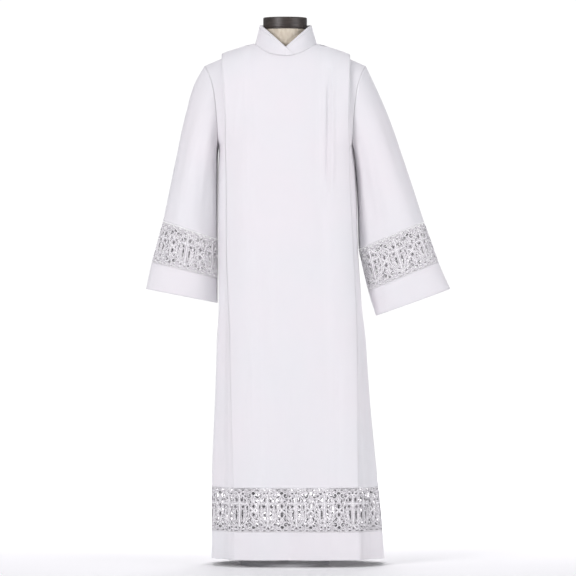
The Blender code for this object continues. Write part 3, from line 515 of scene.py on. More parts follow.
# The cloth's edge columns from the panel's middle out: flat, round the fold, back, round the tuck,
# out again, and round the side
FLAT_COUNTS = (16, 38)
FOLD_COUNT = 9
PLEAT_COUNT = 5
SIDE_COUNT = 34
SHOULDER_ROWS = 34
ARMHOLE_ROWS = 12
SKIRT_STEP = 0.010
SIDE_STEPS = 65  # points along a row's side, on which its length is measured
RIDGE_OVERLAP = 0.0003  # how far each panel's top row runs past the shoulder's ridge
WIDTH_ROW = 40  # the row below the chest whose run gives the cloth map its width


def folds(table, across, along, fade):
    """Sum of soft ridges: each a bell across, and faded in and out along its length."""
    total = np.zeros(np.broadcast(across, along).shape)
    for place, width, depth, low, high, lean in table:
        middle = place + lean * (along - low)
        bell = np.exp(-(((across - middle) / width) ** 2))
        total = total + depth * bell * step((along - low) / fade) * step((high - along) / fade)
    return total


def body_oval(z):
    """Middle and half width of the robe's oval."""
    left = read(SECTIONS, SECTION_COLUMNS, "left", z)
    right = read(SECTIONS, SECTION_COLUMNS, "right", z)
    return (left + right) / 2, (right - left) / 2


def drop_of(z):
    """How far down a height below the chest is: 1 at the chest, and 1 more for each metre."""
    return 1.0 + CHEST_Z - z


def over_angle(drop):
    """How far over the shoulder a drop is: a quarter turn on the ridge, 0 at the chest."""
    return (1.0 - np.minimum(drop, 1.0)) * math.pi / 2


def height_at(x, drop):
    """The height of a drop, at x."""
    rounded = CHEST_Z + (ridge(x) - CHEST_Z) * np.sin(over_angle(drop))
    return np.where(drop > 1.0, 1.0 + CHEST_Z - drop, rounded)


def body_point(face, turn, drop):
    """A point of the robe's plain surface: a squarish oval at each height, from the middle at turn
    0 to the side at a quarter turn, that leans over the shoulder's ridge above the chest."""
    z = np.where(drop > 1.0, 1.0 + CHEST_Z - drop, CHEST_Z)
    for _ in range(4):
        middle, half = body_oval(z)
        x = middle + half * np.sign(turn) * np.abs(np.sin(turn)) ** (2 / ACROSS_POWER)
        z = height_at(x, drop)
    depth = read(SECTIONS, SECTION_COLUMNS, "front" if face < 0 else "back", z)
    facing = np.sign(np.cos(turn)) * np.abs(np.cos(turn)) ** (2 / DEPTH_POWER)
    return np.stack(np.broadcast_arrays(x, face * depth * np.cos(over_angle(drop)) * facing, z), -1)


def body_normal(face, turn, drop, small=0.004):
    """The way out of the plain surface, from the slopes along it and down it."""
    along = body_point(face, turn + small, drop) - body_point(face, turn - small, drop)
    down = body_point(face, turn, drop + small) - body_point(face, turn, drop - small)
    normal = face * np.cross(along, down)
    return normal / np.linalg.norm(normal, axis=-1, keepdims=True)


def turn_at(x, drop):
    """The turn at which the oval is at x."""
    middle, half = body_oval(height_at(x, drop))
    share = np.clip(np.abs(x - middle) / half, 0.0, 1.0)
    return np.sign(x - middle) * np.arcsin(share ** (ACROSS_POWER / 2))


def side_turn(sign, drop):
    """The turn where a panel ends: at the armhole, or below the armpit at the side seam."""
    x = SHOULDER_HALF
    for _ in range(4):
        x = read(ARMHOLE, ARMHOLE_COLUMNS, "across", height_at(x, drop))
    below = drop > drop_of(ARMPIT_Z) - 1e-6
    return np.where(below, sign * math.pi / 2, turn_at(sign * x, drop))


def pleat_edges(face, z):
    """Where the left and the right pleat fold."""
    name = "front" if face < 0 else "back"
    return tuple(read(PLEATS, PLEAT_COLUMNS, f"{name}_{side}", z) for side in ("left", "right"))


def from_middle(share, half):
    """How far across a panel a share of it is. The neck's own share is always at the neck point."""
    outside = (share - NECK_SHARE) / (1 - NECK_SHARE)
    return np.where(share < NECK_SHARE, NECK_HALF * share / NECK_SHARE,
                    NECK_HALF + (half - NECK_HALF) * outside)


def all_stations():
    """The way across a panel, through both pleats. Each station is its share of the panel, its
    inset from the pleat's edge, its share of the side, its layer, and -1 or 1 for its side."""
    inner, outer = FLAT_COUNTS
    shares = [NECK_SHARE * math.sin(a) for a in np.linspace(0, math.pi / 2, inner)]
    shares += list(NECK_SHARE + (1 - NECK_SHARE) * np.linspace(0, 1, outer + 1)[1:-1])
    fold = np.linspace(math.pi / 2, -math.pi / 2, FOLD_COUNT)
    flat = np.linspace(0, 1, PLEAT_COUNT + 2)[1:-1]
    way = [(share, 0.0, 0.0, 2.0) for share in shares]
    way += [(1.0, FOLD_RADIUS * (1 - math.cos(a)), 0.0, 1.5 + math.sin(a) / 2) for a in fold]
    inside, tucked = FOLD_RADIUS, PLEAT_DEPTH - TUCK_RADIUS
    way += [(1.0, inside + (tucked - inside) * t, 0.0, 1.0) for t in flat]
    way += [(1.0, PLEAT_DEPTH - TUCK_RADIUS * (1 - math.cos(a)), 0.0, 0.5 + math.sin(a) / 2)
            for a in fold]
    way += [(1.0, tucked * (1 - t), 0.0, 0.0) for t in flat]
    way += [(1.0, 0.0, share, 0.0) for share in np.linspace(0, 1, SIDE_COUNT + 1)]
    half = np.hstack([np.array(way), np.ones((len(way), 1))])
    mirrored = half[::-1] * (1.0, 1.0, 1.0, 1.0, -1.0)
    return np.vstack([mirrored, half[1:]])


STATIONS = all_stations()


def layer_lift(layer, inside):
    """How far a layer stands off the plain surface: the pleat's layers fan out to its edge, and
    the panel's middle settles towards the surface. Inside is the way in from the edge."""
    pitch = 2 * TUCK_RADIUS + 2 * (FOLD_RADIUS - TUCK_RADIUS) * (1 - inside / PLEAT_DEPTH)
    pitch = np.maximum(pitch, 2 * TUCK_RADIUS)
    settled = step((inside - PLEAT_DEPTH) / PANEL_SETTLE) * (layer >= 2.0)
    flat = layer * pitch
    return flat + settled * (PANEL_REST - flat)


def spread(wanted, run, values):
    """Linear interpolation of each row of values, at the wanted runs of that row."""
    i = np.clip((run[:, None, :] <= wanted[:, :, None]).sum(-1) - 1, 0, run.shape[1] - 2)
    low, high = np.take_along_axis(run, i, 1), np.take_along_axis(run, i + 1, 1)
    t = (wanted - low) / (high - low)
    return np.take_along_axis(values, i, 1) * (1 - t) + np.take_along_axis(values, i + 1, 1) * t


def panel_grid(face, drop, level=None, welt=0.0):
    """Points of a panel, a row for each drop and a column for each station: the plain surface,
    pushed out along its normal by the pleat's layers, the folds and the welt."""
    share, inset, side, layer, sign = STATIONS.T
    left, right = pleat_edges(face, height_at(NECK_HALF, drop))
    half = (right - left) / 2
    across = from_middle(share, half) - inset
    turn = turn_at((left + right) / 2 + sign * across, drop)
    for way, column in ((-1.0, 0), (1.0, -1)):
        here = (side > 0) & (sign == way)
        edge = (side == 0) & (inset == 0) & (layer == 0) & (sign == way)
        start, end = turn[:, edge][:, 0], side_turn(way, drop[:, column])
        sweep = np.linspace(start, end, SIDE_STEPS, axis=-1)
        line = body_point(face, sweep, drop[:, [column]])
        run = np.linalg.norm(np.diff(line, axis=1), axis=-1).cumsum(axis=1)
        run = np.hstack([np.zeros((len(run), 1)), run])
        turn[:, here] = spread(side[here] * run[:, -1:], run, sweep)
    surface = body_point(face, turn, drop)
    table = FRONT_FOLDS if face < 0 else BACK_FOLDS
    x, z = surface[..., 0], surface[..., 2]
    lift = layer_lift(layer, half - across) + folds(table, x, z, FOLD_FADE)
    in_side = step((1.0 - side) / 0.5) * (side > 0)
    lift = lift + folds(SIDE_FOLDS, np.broadcast_to(side, lift.shape), z, FOLD_FADE) * in_side
    lift = lift + welt
    points = surface + lift[..., None] * body_normal(face, turn, drop)
    seam = (side > 1.0 - 1e-6) & (drop > drop_of(ARMPIT_Z) - 1e-6)
    points[..., 1] = np.where(seam, face * SEAM / 2, points[..., 1])
    if level is not None:
        points[..., 2] = level
    return points


def panel_starts(face):
    """The drop at a panel's top edge, for each station: on the ridge, or inside the neck where the
    neckline's height rises from the middle by a power of the way out."""
    left, right = pleat_edges(face, NECK_POINT_Z)
    share, inset, side, _, sign = STATIONS.T
    x = (left + right) / 2 + sign * (from_middle(share, (right - left) / 2) - inset)
    low = FRONT_NECK_Z if face < 0 else BACK_NECK_Z
    out = np.minimum(np.abs(x) / NECK_HALF, 1.0)
    z = low + (NECK_POINT_Z - low) * out**NECKLINE_POWER
    over = np.arcsin(np.minimum((z - CHEST_Z) / (ridge(x) - CHEST_Z), 1.0))
    return np.where(side > 0, 0.0, 1.0 - over / (math.pi / 2))


def cloth_piece(name, grid, uv_across, uv_down, finish, closed=False, thickness=CLOTH):
    """A grid of points made a thin cloth: quads, the cloth's own map in metres, and a wall."""
    rows, across = grid.shape[:2]
    corners = quads(rows, across, closed)
    faces = (corners[..., 0] * across + corners[..., 1] % across).tolist()
    uv = np.stack([uv_across[corners[..., 1]], uv_down[corners[..., 0]]], -1)
    made = mesh_piece(name, grid, faces, finish, uv)
    wall = made.modifiers.new("cloth", "SOLIDIFY")
    wall.thickness = thickness
    wall.offset = 0.0
    return made


def runs_along(row, closed=False):
    """The way along a row of points, from its first one, and back to it if closed."""
    row = np.vstack([row, row[:1]]) if closed else row
    return np.append(0.0, np.linalg.norm(np.diff(row, axis=0), axis=1).cumsum())


WHITE_CLOTH, cloth_tree, cloth_shader = plain("white_cloth", (0.82, 0.81, 0.83), 0.85)
cloth_shader.inputs["Sheen Weight"].default_value = 0.15
cloth_shader.inputs["Sheen Roughness"].default_value = 0.5
cloth_place = weave_bump(cloth_tree, cloth_shader, "UV", 0.00055, 0.00010)
two_tone(cloth_tree, cloth_shader, cloth_place, "Object", (0.812, 0.808, 0.828),
         (0.830, 0.805, 0.828), 5.0)

above_drops = np.linspace(0.0, 1.0, SHOULDER_ROWS)
armhole_z = np.linspace(CHEST_Z, ARMPIT_Z, ARMHOLE_ROWS + 1)[1:]
skirt_z = np.linspace(ARMPIT_Z, LACE_TOP_Z + 0.012, int((ARMPIT_Z - LACE_TOP_Z) / SKIRT_STEP))[1:]
welt_z = LACE_TOP_Z + np.array([0.0096, 0.0088, 0.0080, 0.0074, 0.0068, 0.0040, 0.0005])
below_z = np.concatenate([armhole_z, skirt_z, welt_z])
robe_grids = {}
for name, face in (("front", -1.0), ("back", 1.0)):
    starts = panel_starts(face)
    above = starts + (1.0 - starts) * above_drops[:, None]
    below = np.repeat(drop_of(below_z)[:, None], len(STATIONS), 1)
    welt = WELT_THICKNESS * step((LACE_TOP_Z + WELT_HEIGHT + 0.001 - below_z) / 0.002)
    welt = np.append(np.zeros(len(above)), welt)[:, None]
    grid = panel_grid(face, np.vstack([above, below]), welt=welt)
    grid[0, starts == 0.0, 1] = -face * RIDGE_OVERLAP
    robe_grids[name] = grid
    widths = runs_along(grid[len(above) + WIDTH_ROW])
    lengths = runs_along(grid[:, len(STATIONS) // 2])
    made = cloth_piece(f"{name}_panel", grid, widths, -lengths, WHITE_CLOTH)
    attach(made, "root")
    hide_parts(name)


# Hem: a plain band of the same cloth under the lace, pleated with the panel above, front and back.
HEM_Z = 0.020
hem_grids = {}
hem_z = np.array([LACE_LOW_Z - 0.0002, *np.linspace(LACE_LOW_Z - 0.004, HEM_Z + 0.002, 12), HEM_Z])
for name, face in (("front", -1.0), ("back", 1.0)):
    drop = np.repeat(drop_of(hem_z)[:, None], len(STATIONS), 1)
    grid = panel_grid(face, drop, level=hem_z[:, None])
    hem_grids[name] = grid
    made = cloth_piece(f"{name}_hem", grid, runs_along(grid[0]), hem_z, WHITE_CLOTH)
    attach(made, "root")
    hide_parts(f"hem_{name}")


# Lace: a machine lace of fine net with raised cords: a cross in an oval between two ears of wheat,
# with scrolls and flowers between the ovals. It is let in above the hem and above each cuff.
LACE_REPEAT = 0.0796
LACE_HEIGHT = LACE_TOP_Z - LACE_LOW_Z
GROUND_PITCH = 0.0046
GROUND_SLOPE = 0.90
GROUND_HALF_WIDTH = 0.00106
GROUND_HIGH = 0.0003
CORD_HIGH, CORD_LOW, CORD_LIFT = 0.0009, 0.0005, 0.0003
# The pattern of one repeat, in millimetres across from its middle and down from its top edge.
# Arcs: centre, two radii, start and end in degrees, half width, and 2 if there is one on each side
ARCS = (
    (0, 60, 27.0, 44.0, 0, 360, 1.7, 1),
    (0, 42, 6.0, 6.0, 0, 360, 1.5, 1),
    (8.5, 72, 4.0, 16.3, 0, 360, 1.1, 2),
    (39.8, 60, 2.8, 2.8, 0, 360, 1.5, 1),
    (39.8, 13, 6.3, 5.3, 0, 360, 1.2, 1),
    (39.8, 107, 6.3, 5.3, 0, 360, 1.2, 1),
)
# Leaves: root, direction in degrees, length, half width, and 2 if there is one on each side
LEAVES = (
    (0, 25, -90, 10, 3.2, 1), (0, 96, 90, 10, 3.2, 1),
    (15.5, 42, 0, 9, 3.0, 2), (12, 35, -75, 9, 2.2, 2), (6.5, 21.5, 100, 6, 1.8, 2),
    (17.2, 86, -55, 9, 2.3, 2), (16.8, 86, -135, 7, 2.0, 2), (17.8, 76, -55, 9, 2.3, 2),
    (17.4, 76, -130, 7, 2.0, 2), (18.0, 66, -58, 9, 2.3, 2), (17.6, 66, -125, 8, 2.0, 2),
    (17.8, 58, -90, 11, 2.4, 2),
    (39.8, 60, 42, 12, 3.6, 1), (39.8, 60, 138, 12, 3.6, 1), (39.8, 60, 222, 12, 3.6, 1),
    (39.8, 60, 318, 12, 3.6, 1),
    (39.8, 40, -90, 16, 2.6, 1), (39.8, 80, 90, 16, 2.6, 1),
    (21.5, 9.5, 25, 8, 2.2, 2), (21.5, 110.5, -25, 8, 2.2, 2),
    (33.5, 29, 62, 9, 2.2, 2), (33.5, 91, -62, 9, 2.2, 2),
    (7, 8.5, 12, 11, 2.2, 2), (7, 111.5, -12, 11, 2.2, 2),
)
# Scrolls: centre, start and turn in degrees, first and last radius, half width, on each side
SCROLLS = (
    (29.0, 19, 95, -430, 8.6, 1.2, 1.7),
    (29.0, 101, -95, 430, 8.6, 1.2, 1.7),
)
# Bars: two ends, and the half width at its ends and in its middle
BARS = (
    (0, 22, 0, 99, 4.2, 2.5),
    (-17, 42, 17, 42, 3.9, 2.3),
)
# Stems: ends and the point that each bends towards, and half width, on each side
STEMS = (
    (2, 101, 15, 99, 17.4, 60, 1.2),
    (30.5, 72, 36, 80, 39.8, 82, 1.3),
    (30.5, 48, 36, 40, 39.8, 38, 1.3),
)
# Open places in the net: centre and half sizes
OPEN = (
    (8.5, 72, 2.9, 15.2), (-8.5, 72, 2.9, 15.2), (39.8, 13, 5.1, 4.1), (39.8, 107, 5.1, 4.1),
    (7.6, 30, 3.6, 6.4), (-7.6, 30, 3.6, 6.4), (16.5, 32, 2.4, 4.5), (-16.5, 32, 2.4, 4.5),
    (11, 50, 4.2, 3.4), (-11, 50, 4.2, 3.4), (22.8, 51.5, 2.4, 4.6), (-22.8, 51.5, 2.4, 4.6),
    (23.4, 64, 1.9, 3.2), (-23.4, 64, 1.9, 3.2), (22.8, 74, 1.9, 3.2), (-22.8, 74, 1.9, 3.2),
    (20.6, 84.5, 1.9, 3.0), (-20.6, 84.5, 1.9, 3.0), (8.5, 94.5, 4.4, 2.2), (-8.5, 94.5, 4.4, 2.2),
    (39.8, 48.5, 3.0, 5.2), (39.8, 71.5, 3.0, 5.2), (34.0, 60, 2.2, 3.4), (-34.0, 60, 2.2, 3.4),
    (29, 19, 6.6, 6.6), (-29, 19, 6.6, 6.6), (29, 101, 6.6, 6.6), (-29, 101, 6.6, 6.6),
    (9.95, 4.2, 6.6, 1.7), (-9.95, 4.2, 6.6, 1.7), (29.85, 4.2, 6.6, 1.7), (-29.85, 4.2, 6.6, 1.7),
    (9.95, 115.8, 6.6, 1.7), (-9.95, 115.8, 6.6, 1.7),
    (29.85, 115.8, 6.6, 1.7), (-29.85, 115.8, 6.6, 1.7),
    (31.5, 36, 1.8, 3.6), (-31.5, 36, 1.8, 3.6), (31.5, 84, 1.8, 3.6), (-31.5, 84, 1.8, 3.6),
)
SCALLOPS = 4  # along each edge, in a repeat
PETALS = 20  # round the oval, with an eyelet between each two
EYELET = 2.1


def lace_cords():
    """One repeat's cords, each as its path and its half width along it, in metres."""
    cords = []

    def add(path, half_width, each_side=False):
        """Keeps a path and its half width, and its mirror image where there is one on each side."""
        cords.append((path, half_width))
        if each_side:
            cords.append((path * (-1, 1), half_width))

    for x, y, across, deep, start, end, half_width, sides in ARCS:
        count = max(9, int(max(across, deep) * (end - start) / 360)) + 1
        a = np.radians(np.linspace(start, end, count))
        path = np.stack([x + across * np.cos(a), y + deep * np.sin(a)], -1)
        add(path, np.full(len(a), half_width), sides == 2)
    for x, y, direction, length, half_width, sides in LEAVES:
        t = np.linspace(0, 1, 5)
        a = math.radians(direction)
        path = np.stack([x + length * t * math.cos(a), y + length * t * math.sin(a)], -1)
        add(path, half_width * np.array([0.25, 0.85, 1.0, 0.7, 0.08]), sides == 2)
    for x, y, start, turn, first, last, half_width in SCROLLS:
        t = np.linspace(0, 1, 17)
        a, r = np.radians(start + turn * t), first + (last - first) * t
        path = np.stack([x + r * np.cos(a), y + r * np.sin(a)], -1)
        add(path, half_width * (1.1 - 0.5 * t), True)
    for x0, y0, x1, y1, end_width, middle_width in BARS:
        t = np.linspace(0, 1, 9)
        flare = middle_width + (end_width - middle_width) * np.abs(2 * t - 1) ** 4
        add(np.stack([x0 + (x1 - x0) * t, y0 + (y1 - y0) * t], -1), flare)
    for x0, y0, bend_x, bend_y, x1, y1, half_width in STEMS:
        t = np.linspace(0, 1, 10)[:, None]
        ends = (1 - t) ** 2 * (x0, y0) + t**2 * (x1, y1)
        add(ends + 2 * t * (1 - t) * (bend_x, bend_y), np.full(len(t), half_width), True)
    for k in range(PETALS):
        a = 2 * math.pi * (k + 0.5) / PETALS
        t = np.array([28.6, 29.8, 31.4, 33.0, 34.2])
        path = np.stack([t * math.cos(a), 60 + (t + 17.2) * math.sin(a)], -1)
        add(path, np.array([0.7, 2.0, 2.6, 2.0, 0.5]))
    half = LACE_REPEAT * 500
    across = np.linspace(-half, half, SCALLOPS * 6 + 1)
    wave = np.abs(np.sin(SCALLOPS * math.pi * (across + half) / (2 * half)))
    for edge, way in ((0.0, 1.0), (LACE_HEIGHT * 1000, -1.0)):
        straight = np.linspace(-half, half, 9)
        add(np.stack([straight, np.full(9, edge + way * 1.0)], -1), np.full(9, 1.3))
        add(np.stack([across, edge + way * (2.4 + 4.4 * wave)], -1), np.full(len(across), 1.1))
    return [(path / 1000, half_width / 1000) for path, half_width in cords]


def cord_mesh(paths, half_width, high, low, keep):
    """Cords on a plane: each path is given corners all the way, to the left, on top, to the right
    and below, and an end where it stops. Paths are (cord, point, run and drop). Keep says which
    stretches are made."""
    along = np.gradient(paths, axis=1)
    along /= np.maximum(np.linalg.norm(along, axis=-1, keepdims=True), 1e-9)
    half_width = np.broadcast_to(half_width, paths.shape[:2])[..., None]
    aside = np.stack([-along[..., 1], along[..., 0]], -1) * half_width
    level = np.zeros(paths.shape[:2] + (1,))
    corners = [np.concatenate([paths + aside, level], -1),
               np.concatenate([paths, level + high], -1),
               np.concatenate([paths - aside, level], -1)]
    if low:
        corners.append(np.concatenate([paths, level - low], -1))
    points = np.stack(corners, 2)
    count, steps, around = points.shape[:3]
    index = np.arange(count * steps * around).reshape(count, steps, around)
    here, after = index[:, :-1], index[:, 1:]
    sides = np.stack([here, np.roll(here, -1, 2), np.roll(after, -1, 2), after], -1)
    sides = sides[keep].reshape(-1, 4)
    closed = np.pad(keep, ((0, 0), (1, 1)))
    begins = index[closed[:, 1:] & ~closed[:, :-1]][:, ::-1]
    stops = index[closed[:, :-1] & ~closed[:, 1:]]
    ends = np.concatenate([begins, stops])
    return points.reshape(-1, 3), sides, ends


def how_open(run, down, length, middles):
    """Below 1 in an open place of the ground or past the strip's ends: each open place is an oval,
    and its value is the squared distance from its middle in its own half sizes."""
    x = (run - middles[np.argmin(np.abs(run[..., None] - middles), -1)]) * 1000
    y = down * 1000
    value = np.where((run < 0) | (run > length), 0.0, np.inf)
    a = 2 * math.pi * np.arange(PETALS) / PETALS
    eyelets = [(31.8 * math.cos(t), 60 + 48.6 * math.sin(t), EYELET, EYELET) for t in a]
    for middle_x, middle_y, across, deep in list(OPEN) + eyelets:
        for shift in (0.0, LACE_REPEAT * 1000):
            out = ((x - middle_x + shift) / across) ** 2 + ((y - middle_y) / deep) ** 2
            value = np.minimum(value, out)
    return value


def ground_mesh(length, middles):
    """The ground: two sets of flat threads that slant over the whole strip. A thread stops at the
    edge of an open place, found by halving the stretch that crosses it."""
    steps = int(2 * LACE_HEIGHT * GROUND_SLOPE / GROUND_PITCH)
    down = np.linspace(0.0, LACE_HEIGHT, steps + 1)
    parts = []
    for way in (-1.0, 1.0):
        reach = GROUND_SLOPE * LACE_HEIGHT
        first = np.arange(-reach, length + reach, GROUND_PITCH)
        paths = np.stack(np.broadcast_arrays(first[:, None] + way * GROUND_SLOPE * down, down), -1)
        is_open = how_open(paths[..., 0], paths[..., 1], length, middles) < 1.0
        before = np.pad(is_open, ((0, 0), (1, 0)), constant_values=True)[:, :-1]
        after = np.pad(is_open, ((0, 0), (0, 1)), constant_values=True)[:, 1:]
        from_before = is_open & ~before
        from_after = is_open & before & ~after
        keep = ~is_open[:, :-1] | from_after[:, :-1]
        for moved, whole in ((from_before, np.roll(paths, 1, 1)), (from_after, np.roll(paths, -1, 1))):
            inside, outside = paths[moved], whole[moved]
            for _ in range(6):
                middle = (inside + outside) / 2
                within = (how_open(middle[:, 0], middle[:, 1], length, middles) < 1.0)[:, None]
                inside, outside = np.where(within, middle, inside), np.where(within, outside, middle)
            paths[moved] = outside
        half_width = np.full(paths.shape[:2], GROUND_HALF_WIDTH)
        thread = cord_mesh(paths, half_width, GROUND_HIGH, 0.0, keep)
        thread[0][:, 2] += (way - 1.0) * 0.0001
        parts.append(thread)
    return parts


def joined(parts):
    """Several meshes as one, without the points that no face uses."""
    starts = np.cumsum([0] + [len(points) for points, _, _ in parts])
    faces = [face + start for (_, *both), start in zip(parts, starts) for kind in both for face in kind]
    sizes = [len(face) for face in faces]
    used, new = np.unique(np.concatenate(faces), return_inverse=True)
    return np.vstack([points for points, _, _ in parts])[used], np.split(new, np.cumsum(sizes)[:-1])


def laid(flat, grid, runs, out):
    """Points given by run, share down and lift, laid on a grid of cloth: between its four nearest
    points, and off it along its normal."""
    along, down = np.gradient(grid, axis=1), np.gradient(grid, axis=0)
    normals = out * np.cross(along, down)
    at = np.interp(flat[:, 0], runs, np.arange(len(runs)))
    i = np.clip(at.astype(int), 0, len(runs) - 2)
    t = (at - i)[:, None]
    row = np.clip(flat[:, 1], 0, 1) * (len(grid) - 1)
    j = np.clip(row.astype(int), 0, len(grid) - 2)
    s = (row - j)[:, None]

    def mixed(values):
        upper = values[j, i] * (1 - t) + values[j, i + 1] * t
        lower = values[j + 1, i] * (1 - t) + values[j + 1, i + 1] * t
        return upper * (1 - s) + lower * s

    normal = mixed(normals)
    normal /= np.linalg.norm(normal, axis=1, keepdims=True)
    return mixed(grid) + normal * flat[:, 2:]


def lace_mesh(name, parts, grid, runs, out, finish):
    """Flat lace laid on a grid of cloth, as one piece, with its own map in metres."""
    flat, faces = joined(parts)
    faces = [face[::-1] for face in faces] if out < 0 else faces
    map_uv = flat[np.concatenate(faces), :2]
    flat[:, 1] /= LACE_HEIGHT
    made = mesh_piece(name, laid(flat, grid, runs, out), faces, finish, map_uv)
    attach(made, "root")
    return made


def lace_band(name, node, grid, runs, out, first_middle):
    """A band of lace on a grid of cloth: the ground, and each repeat's cords on top of it."""
    length = float(runs[-1])
    count = math.ceil(length / LACE_REPEAT) + 1
    middles = first_middle + LACE_REPEAT * np.arange(-count, count + 1)
    ground = lace_mesh(f"{name}_ground", ground_mesh(length, middles), grid, runs, out, WHITE_LACE)
    parts = []
    for path, half_width in lace_cords():
        paths = np.stack([path[None, :, 0] + middles[:, None],
                          np.broadcast_to(path[:, 1], (len(middles), len(path)))], -1)
        keep = (paths[:, 1:, 0] > 0) & (paths[:, :-1, 0] > 0)
        keep &= (paths[:, 1:, 0] < length) & (paths[:, :-1, 0] < length)
        cord = cord_mesh(paths, half_width, CORD_HIGH, CORD_LOW, keep)
        cord[0][:, 2] += CORD_LIFT
        parts.append(cord)
    cords = lace_mesh(f"{name}_cords", parts, grid, runs, out, RAISED_CORD)
    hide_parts(node)
    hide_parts(node)


WHITE_LACE, lace_tree, lace_shader = plain("white_lace", (0.82, 0.805, 0.825), 0.8)
lace_shader.inputs["Sheen Weight"].default_value = 0.15
lace_place = weave_bump(lace_tree, lace_shader, "UV", 0.00035, 0.00008)
two_tone(lace_tree, lace_shader, lace_place, "UV", (0.85, 0.82, 0.85), (0.89, 0.865, 0.89), 90.0)
RAISED_CORD, cord_tree, cord_shader = plain("white_lace_cord", (0.88, 0.865, 0.88), 0.55)
cord_shader.inputs["Sheen Weight"].default_value = 0.2
cord_place = weave_bump(cord_tree, cord_shader, "UV", 0.00045, 0.00012)
two_tone(cord_tree, cord_shader, cord_place, "UV", (0.90, 0.885, 0.90), (0.93, 0.915, 0.925), 70.0)

lace_z = np.linspace(LACE_TOP_Z, LACE_LOW_Z, 13)
for name, face in (("front", -1.0), ("back", 1.0)):
    drop = np.repeat(drop_of(lace_z)[:, None], len(STATIONS), 1)
    grid = panel_grid(face, drop, level=lace_z[:, None])
    runs = runs_along(grid[len(grid) // 2])
    middle = runs[len(STATIONS) // 2] + (LACE_REPEAT / 2 if name == "back" else 0.0)
    lace_band(f"{name}_hem_lace", f"hem_lace_{name}", grid, runs, face, middle)


# Sleeves: the same cloth, set into the armholes, widening to the cuff lace. Left and right are as
# seen from the front.
SLEEVE_COLUMNS = ("share", "outer_x", "outer_z", "inner_x", "inner_z", "half_depth")
SLEEVES = {
    "left": (
        (0.00, 0.2270, 1.3924, 0.1850, 1.1650, 0.087),
        (0.09, 0.2500, 1.3520, 0.1872, 1.1480, 0.087),
        (0.30, 0.2780, 1.2600, 0.1888, 1.0950, 0.084),
        (0.60, 0.3060, 1.1300, 0.1897, 1.0150, 0.076),
        (1.00, 0.3416, 0.9580, 0.1898, 0.9080, 0.063),
        (2.00, 0.3724, 0.8460, 0.1898, 0.8010, 0.058),
        (3.00, 0.3892, 0.7700, 0.1898, 0.7310, 0.054),
    ),
    "right": (
        (0.00, 0.2270, 1.3924, 0.1920, 1.1650, 0.087),
        (0.09, 0.2480, 1.3480, 0.1955, 1.1480, 0.087),
        (0.30, 0.2880, 1.2550, 0.1998, 1.0900, 0.084),
        (0.60, 0.3350, 1.1200, 0.2034, 1.0050, 0.077),
        (1.00, 0.3892, 0.9560, 0.2066, 0.8800, 0.066),
        (2.00, 0.4284, 0.8460, 0.2330, 0.7660, 0.061),
        (3.00, 0.4620, 0.7700, 0.2548, 0.6950, 0.057),
    ),
}
SLEEVE_SIGN = {"left": -1.0, "right": 1.0}
SLEEVE_POWER = 0.9
SLEEVE_EVEN = 0.5
SLEEVE_HELD_POWER = 3
SLEEVE_FOLD_FADE = 0.35
# Folds along a sleeve, placed by the turn round it: 0 outside, 0.25 front, 0.5 underarm
SLEEVE_FOLDS = (
    (0.33, 0.055, -0.0100, -0.20, 1.10, 0.00),
    (0.40, 0.032, -0.0085, 0.02, 0.60, 0.03),
    (0.18, 0.060, 0.0050, 0.05, 2.20, 0.00),
    (0.68, 0.060, -0.0080, 0.05, 1.60, 0.00),
    (0.84, 0.060, 0.0050, 0.10, 2.20, 0.00),
    (0.255, 0.022, -0.0034, 0.10, 1.00, 0.03),
    (0.120, 0.020, -0.0022, 0.02, 0.80, 0.02),
    (0.385, 0.020, 0.0028, 0.05, 0.95, 0.02),
    (0.610, 0.020, 0.0018, 0.10, 1.00, -0.03),
    (0.760, 0.020, -0.0018, 0.05, 0.90, 0.02),
    (0.900, 0.018, -0.0012, 0.15, 0.95, -0.02),
)


def armhole_ring(side):
    """Points round an armhole: from the shoulder tip down the front panel's edge and up the back's,
    moved out by a seam and the cloth."""
    sign, column = SLEEVE_SIGN[side], 0 if side == "left" else -1
    drops = np.append(above_drops, drop_of(armhole_z))
    front, back = (robe_grids[name][:len(drops), column] for name in ("front", "back"))
    ring = np.vstack([front, back[-2:0:-1]])
    ring[[0, len(drops) - 1], 1] = 0.0
    facing = np.abs(body_normal(-1.0, side_turn(sign, drops), drops)[:, 0])
    ring[:, 0] += sign * (0.0002 + CLOTH * np.append(facing, facing[-2:0:-1]))
    return ring


def sleeve_edges(side, share):
    """The outer and the inner edge of a sleeve, in the plane of the front, and half its depth."""
    table, sign = SLEEVES[side], SLEEVE_SIGN[side]
    at = {name: read(table, SLEEVE_COLUMNS, name, share) for name in SLEEVE_COLUMNS[1:]}
    outer = np.stack([sign * at["outer_x"], 0.0 * at["outer_x"], at["outer_z"]], -1)
    inner = np.stack([sign * at["inner_x"], 0.0 * at["inner_x"], at["inner_z"]], -1)
    return outer, inner, at["half_depth"]


def sleeve_point(side, share, turn):
    """A point of a sleeve's plain tube: a rounded oval. The turn is 0 outside, a quarter in front."""
    outer, inner, depth = sleeve_edges(side, share)
    a = 2 * math.pi * turn
    across = np.sign(np.cos(a)) * np.abs(np.cos(a)) ** SLEEVE_POWER
    deep = np.sign(np.sin(a)) * np.abs(np.sin(a)) ** SLEEVE_POWER
    point = (outer + inner) / 2 + (outer - inner) / 2 * across[..., None]
    point[..., 1] -= depth * deep
    return point


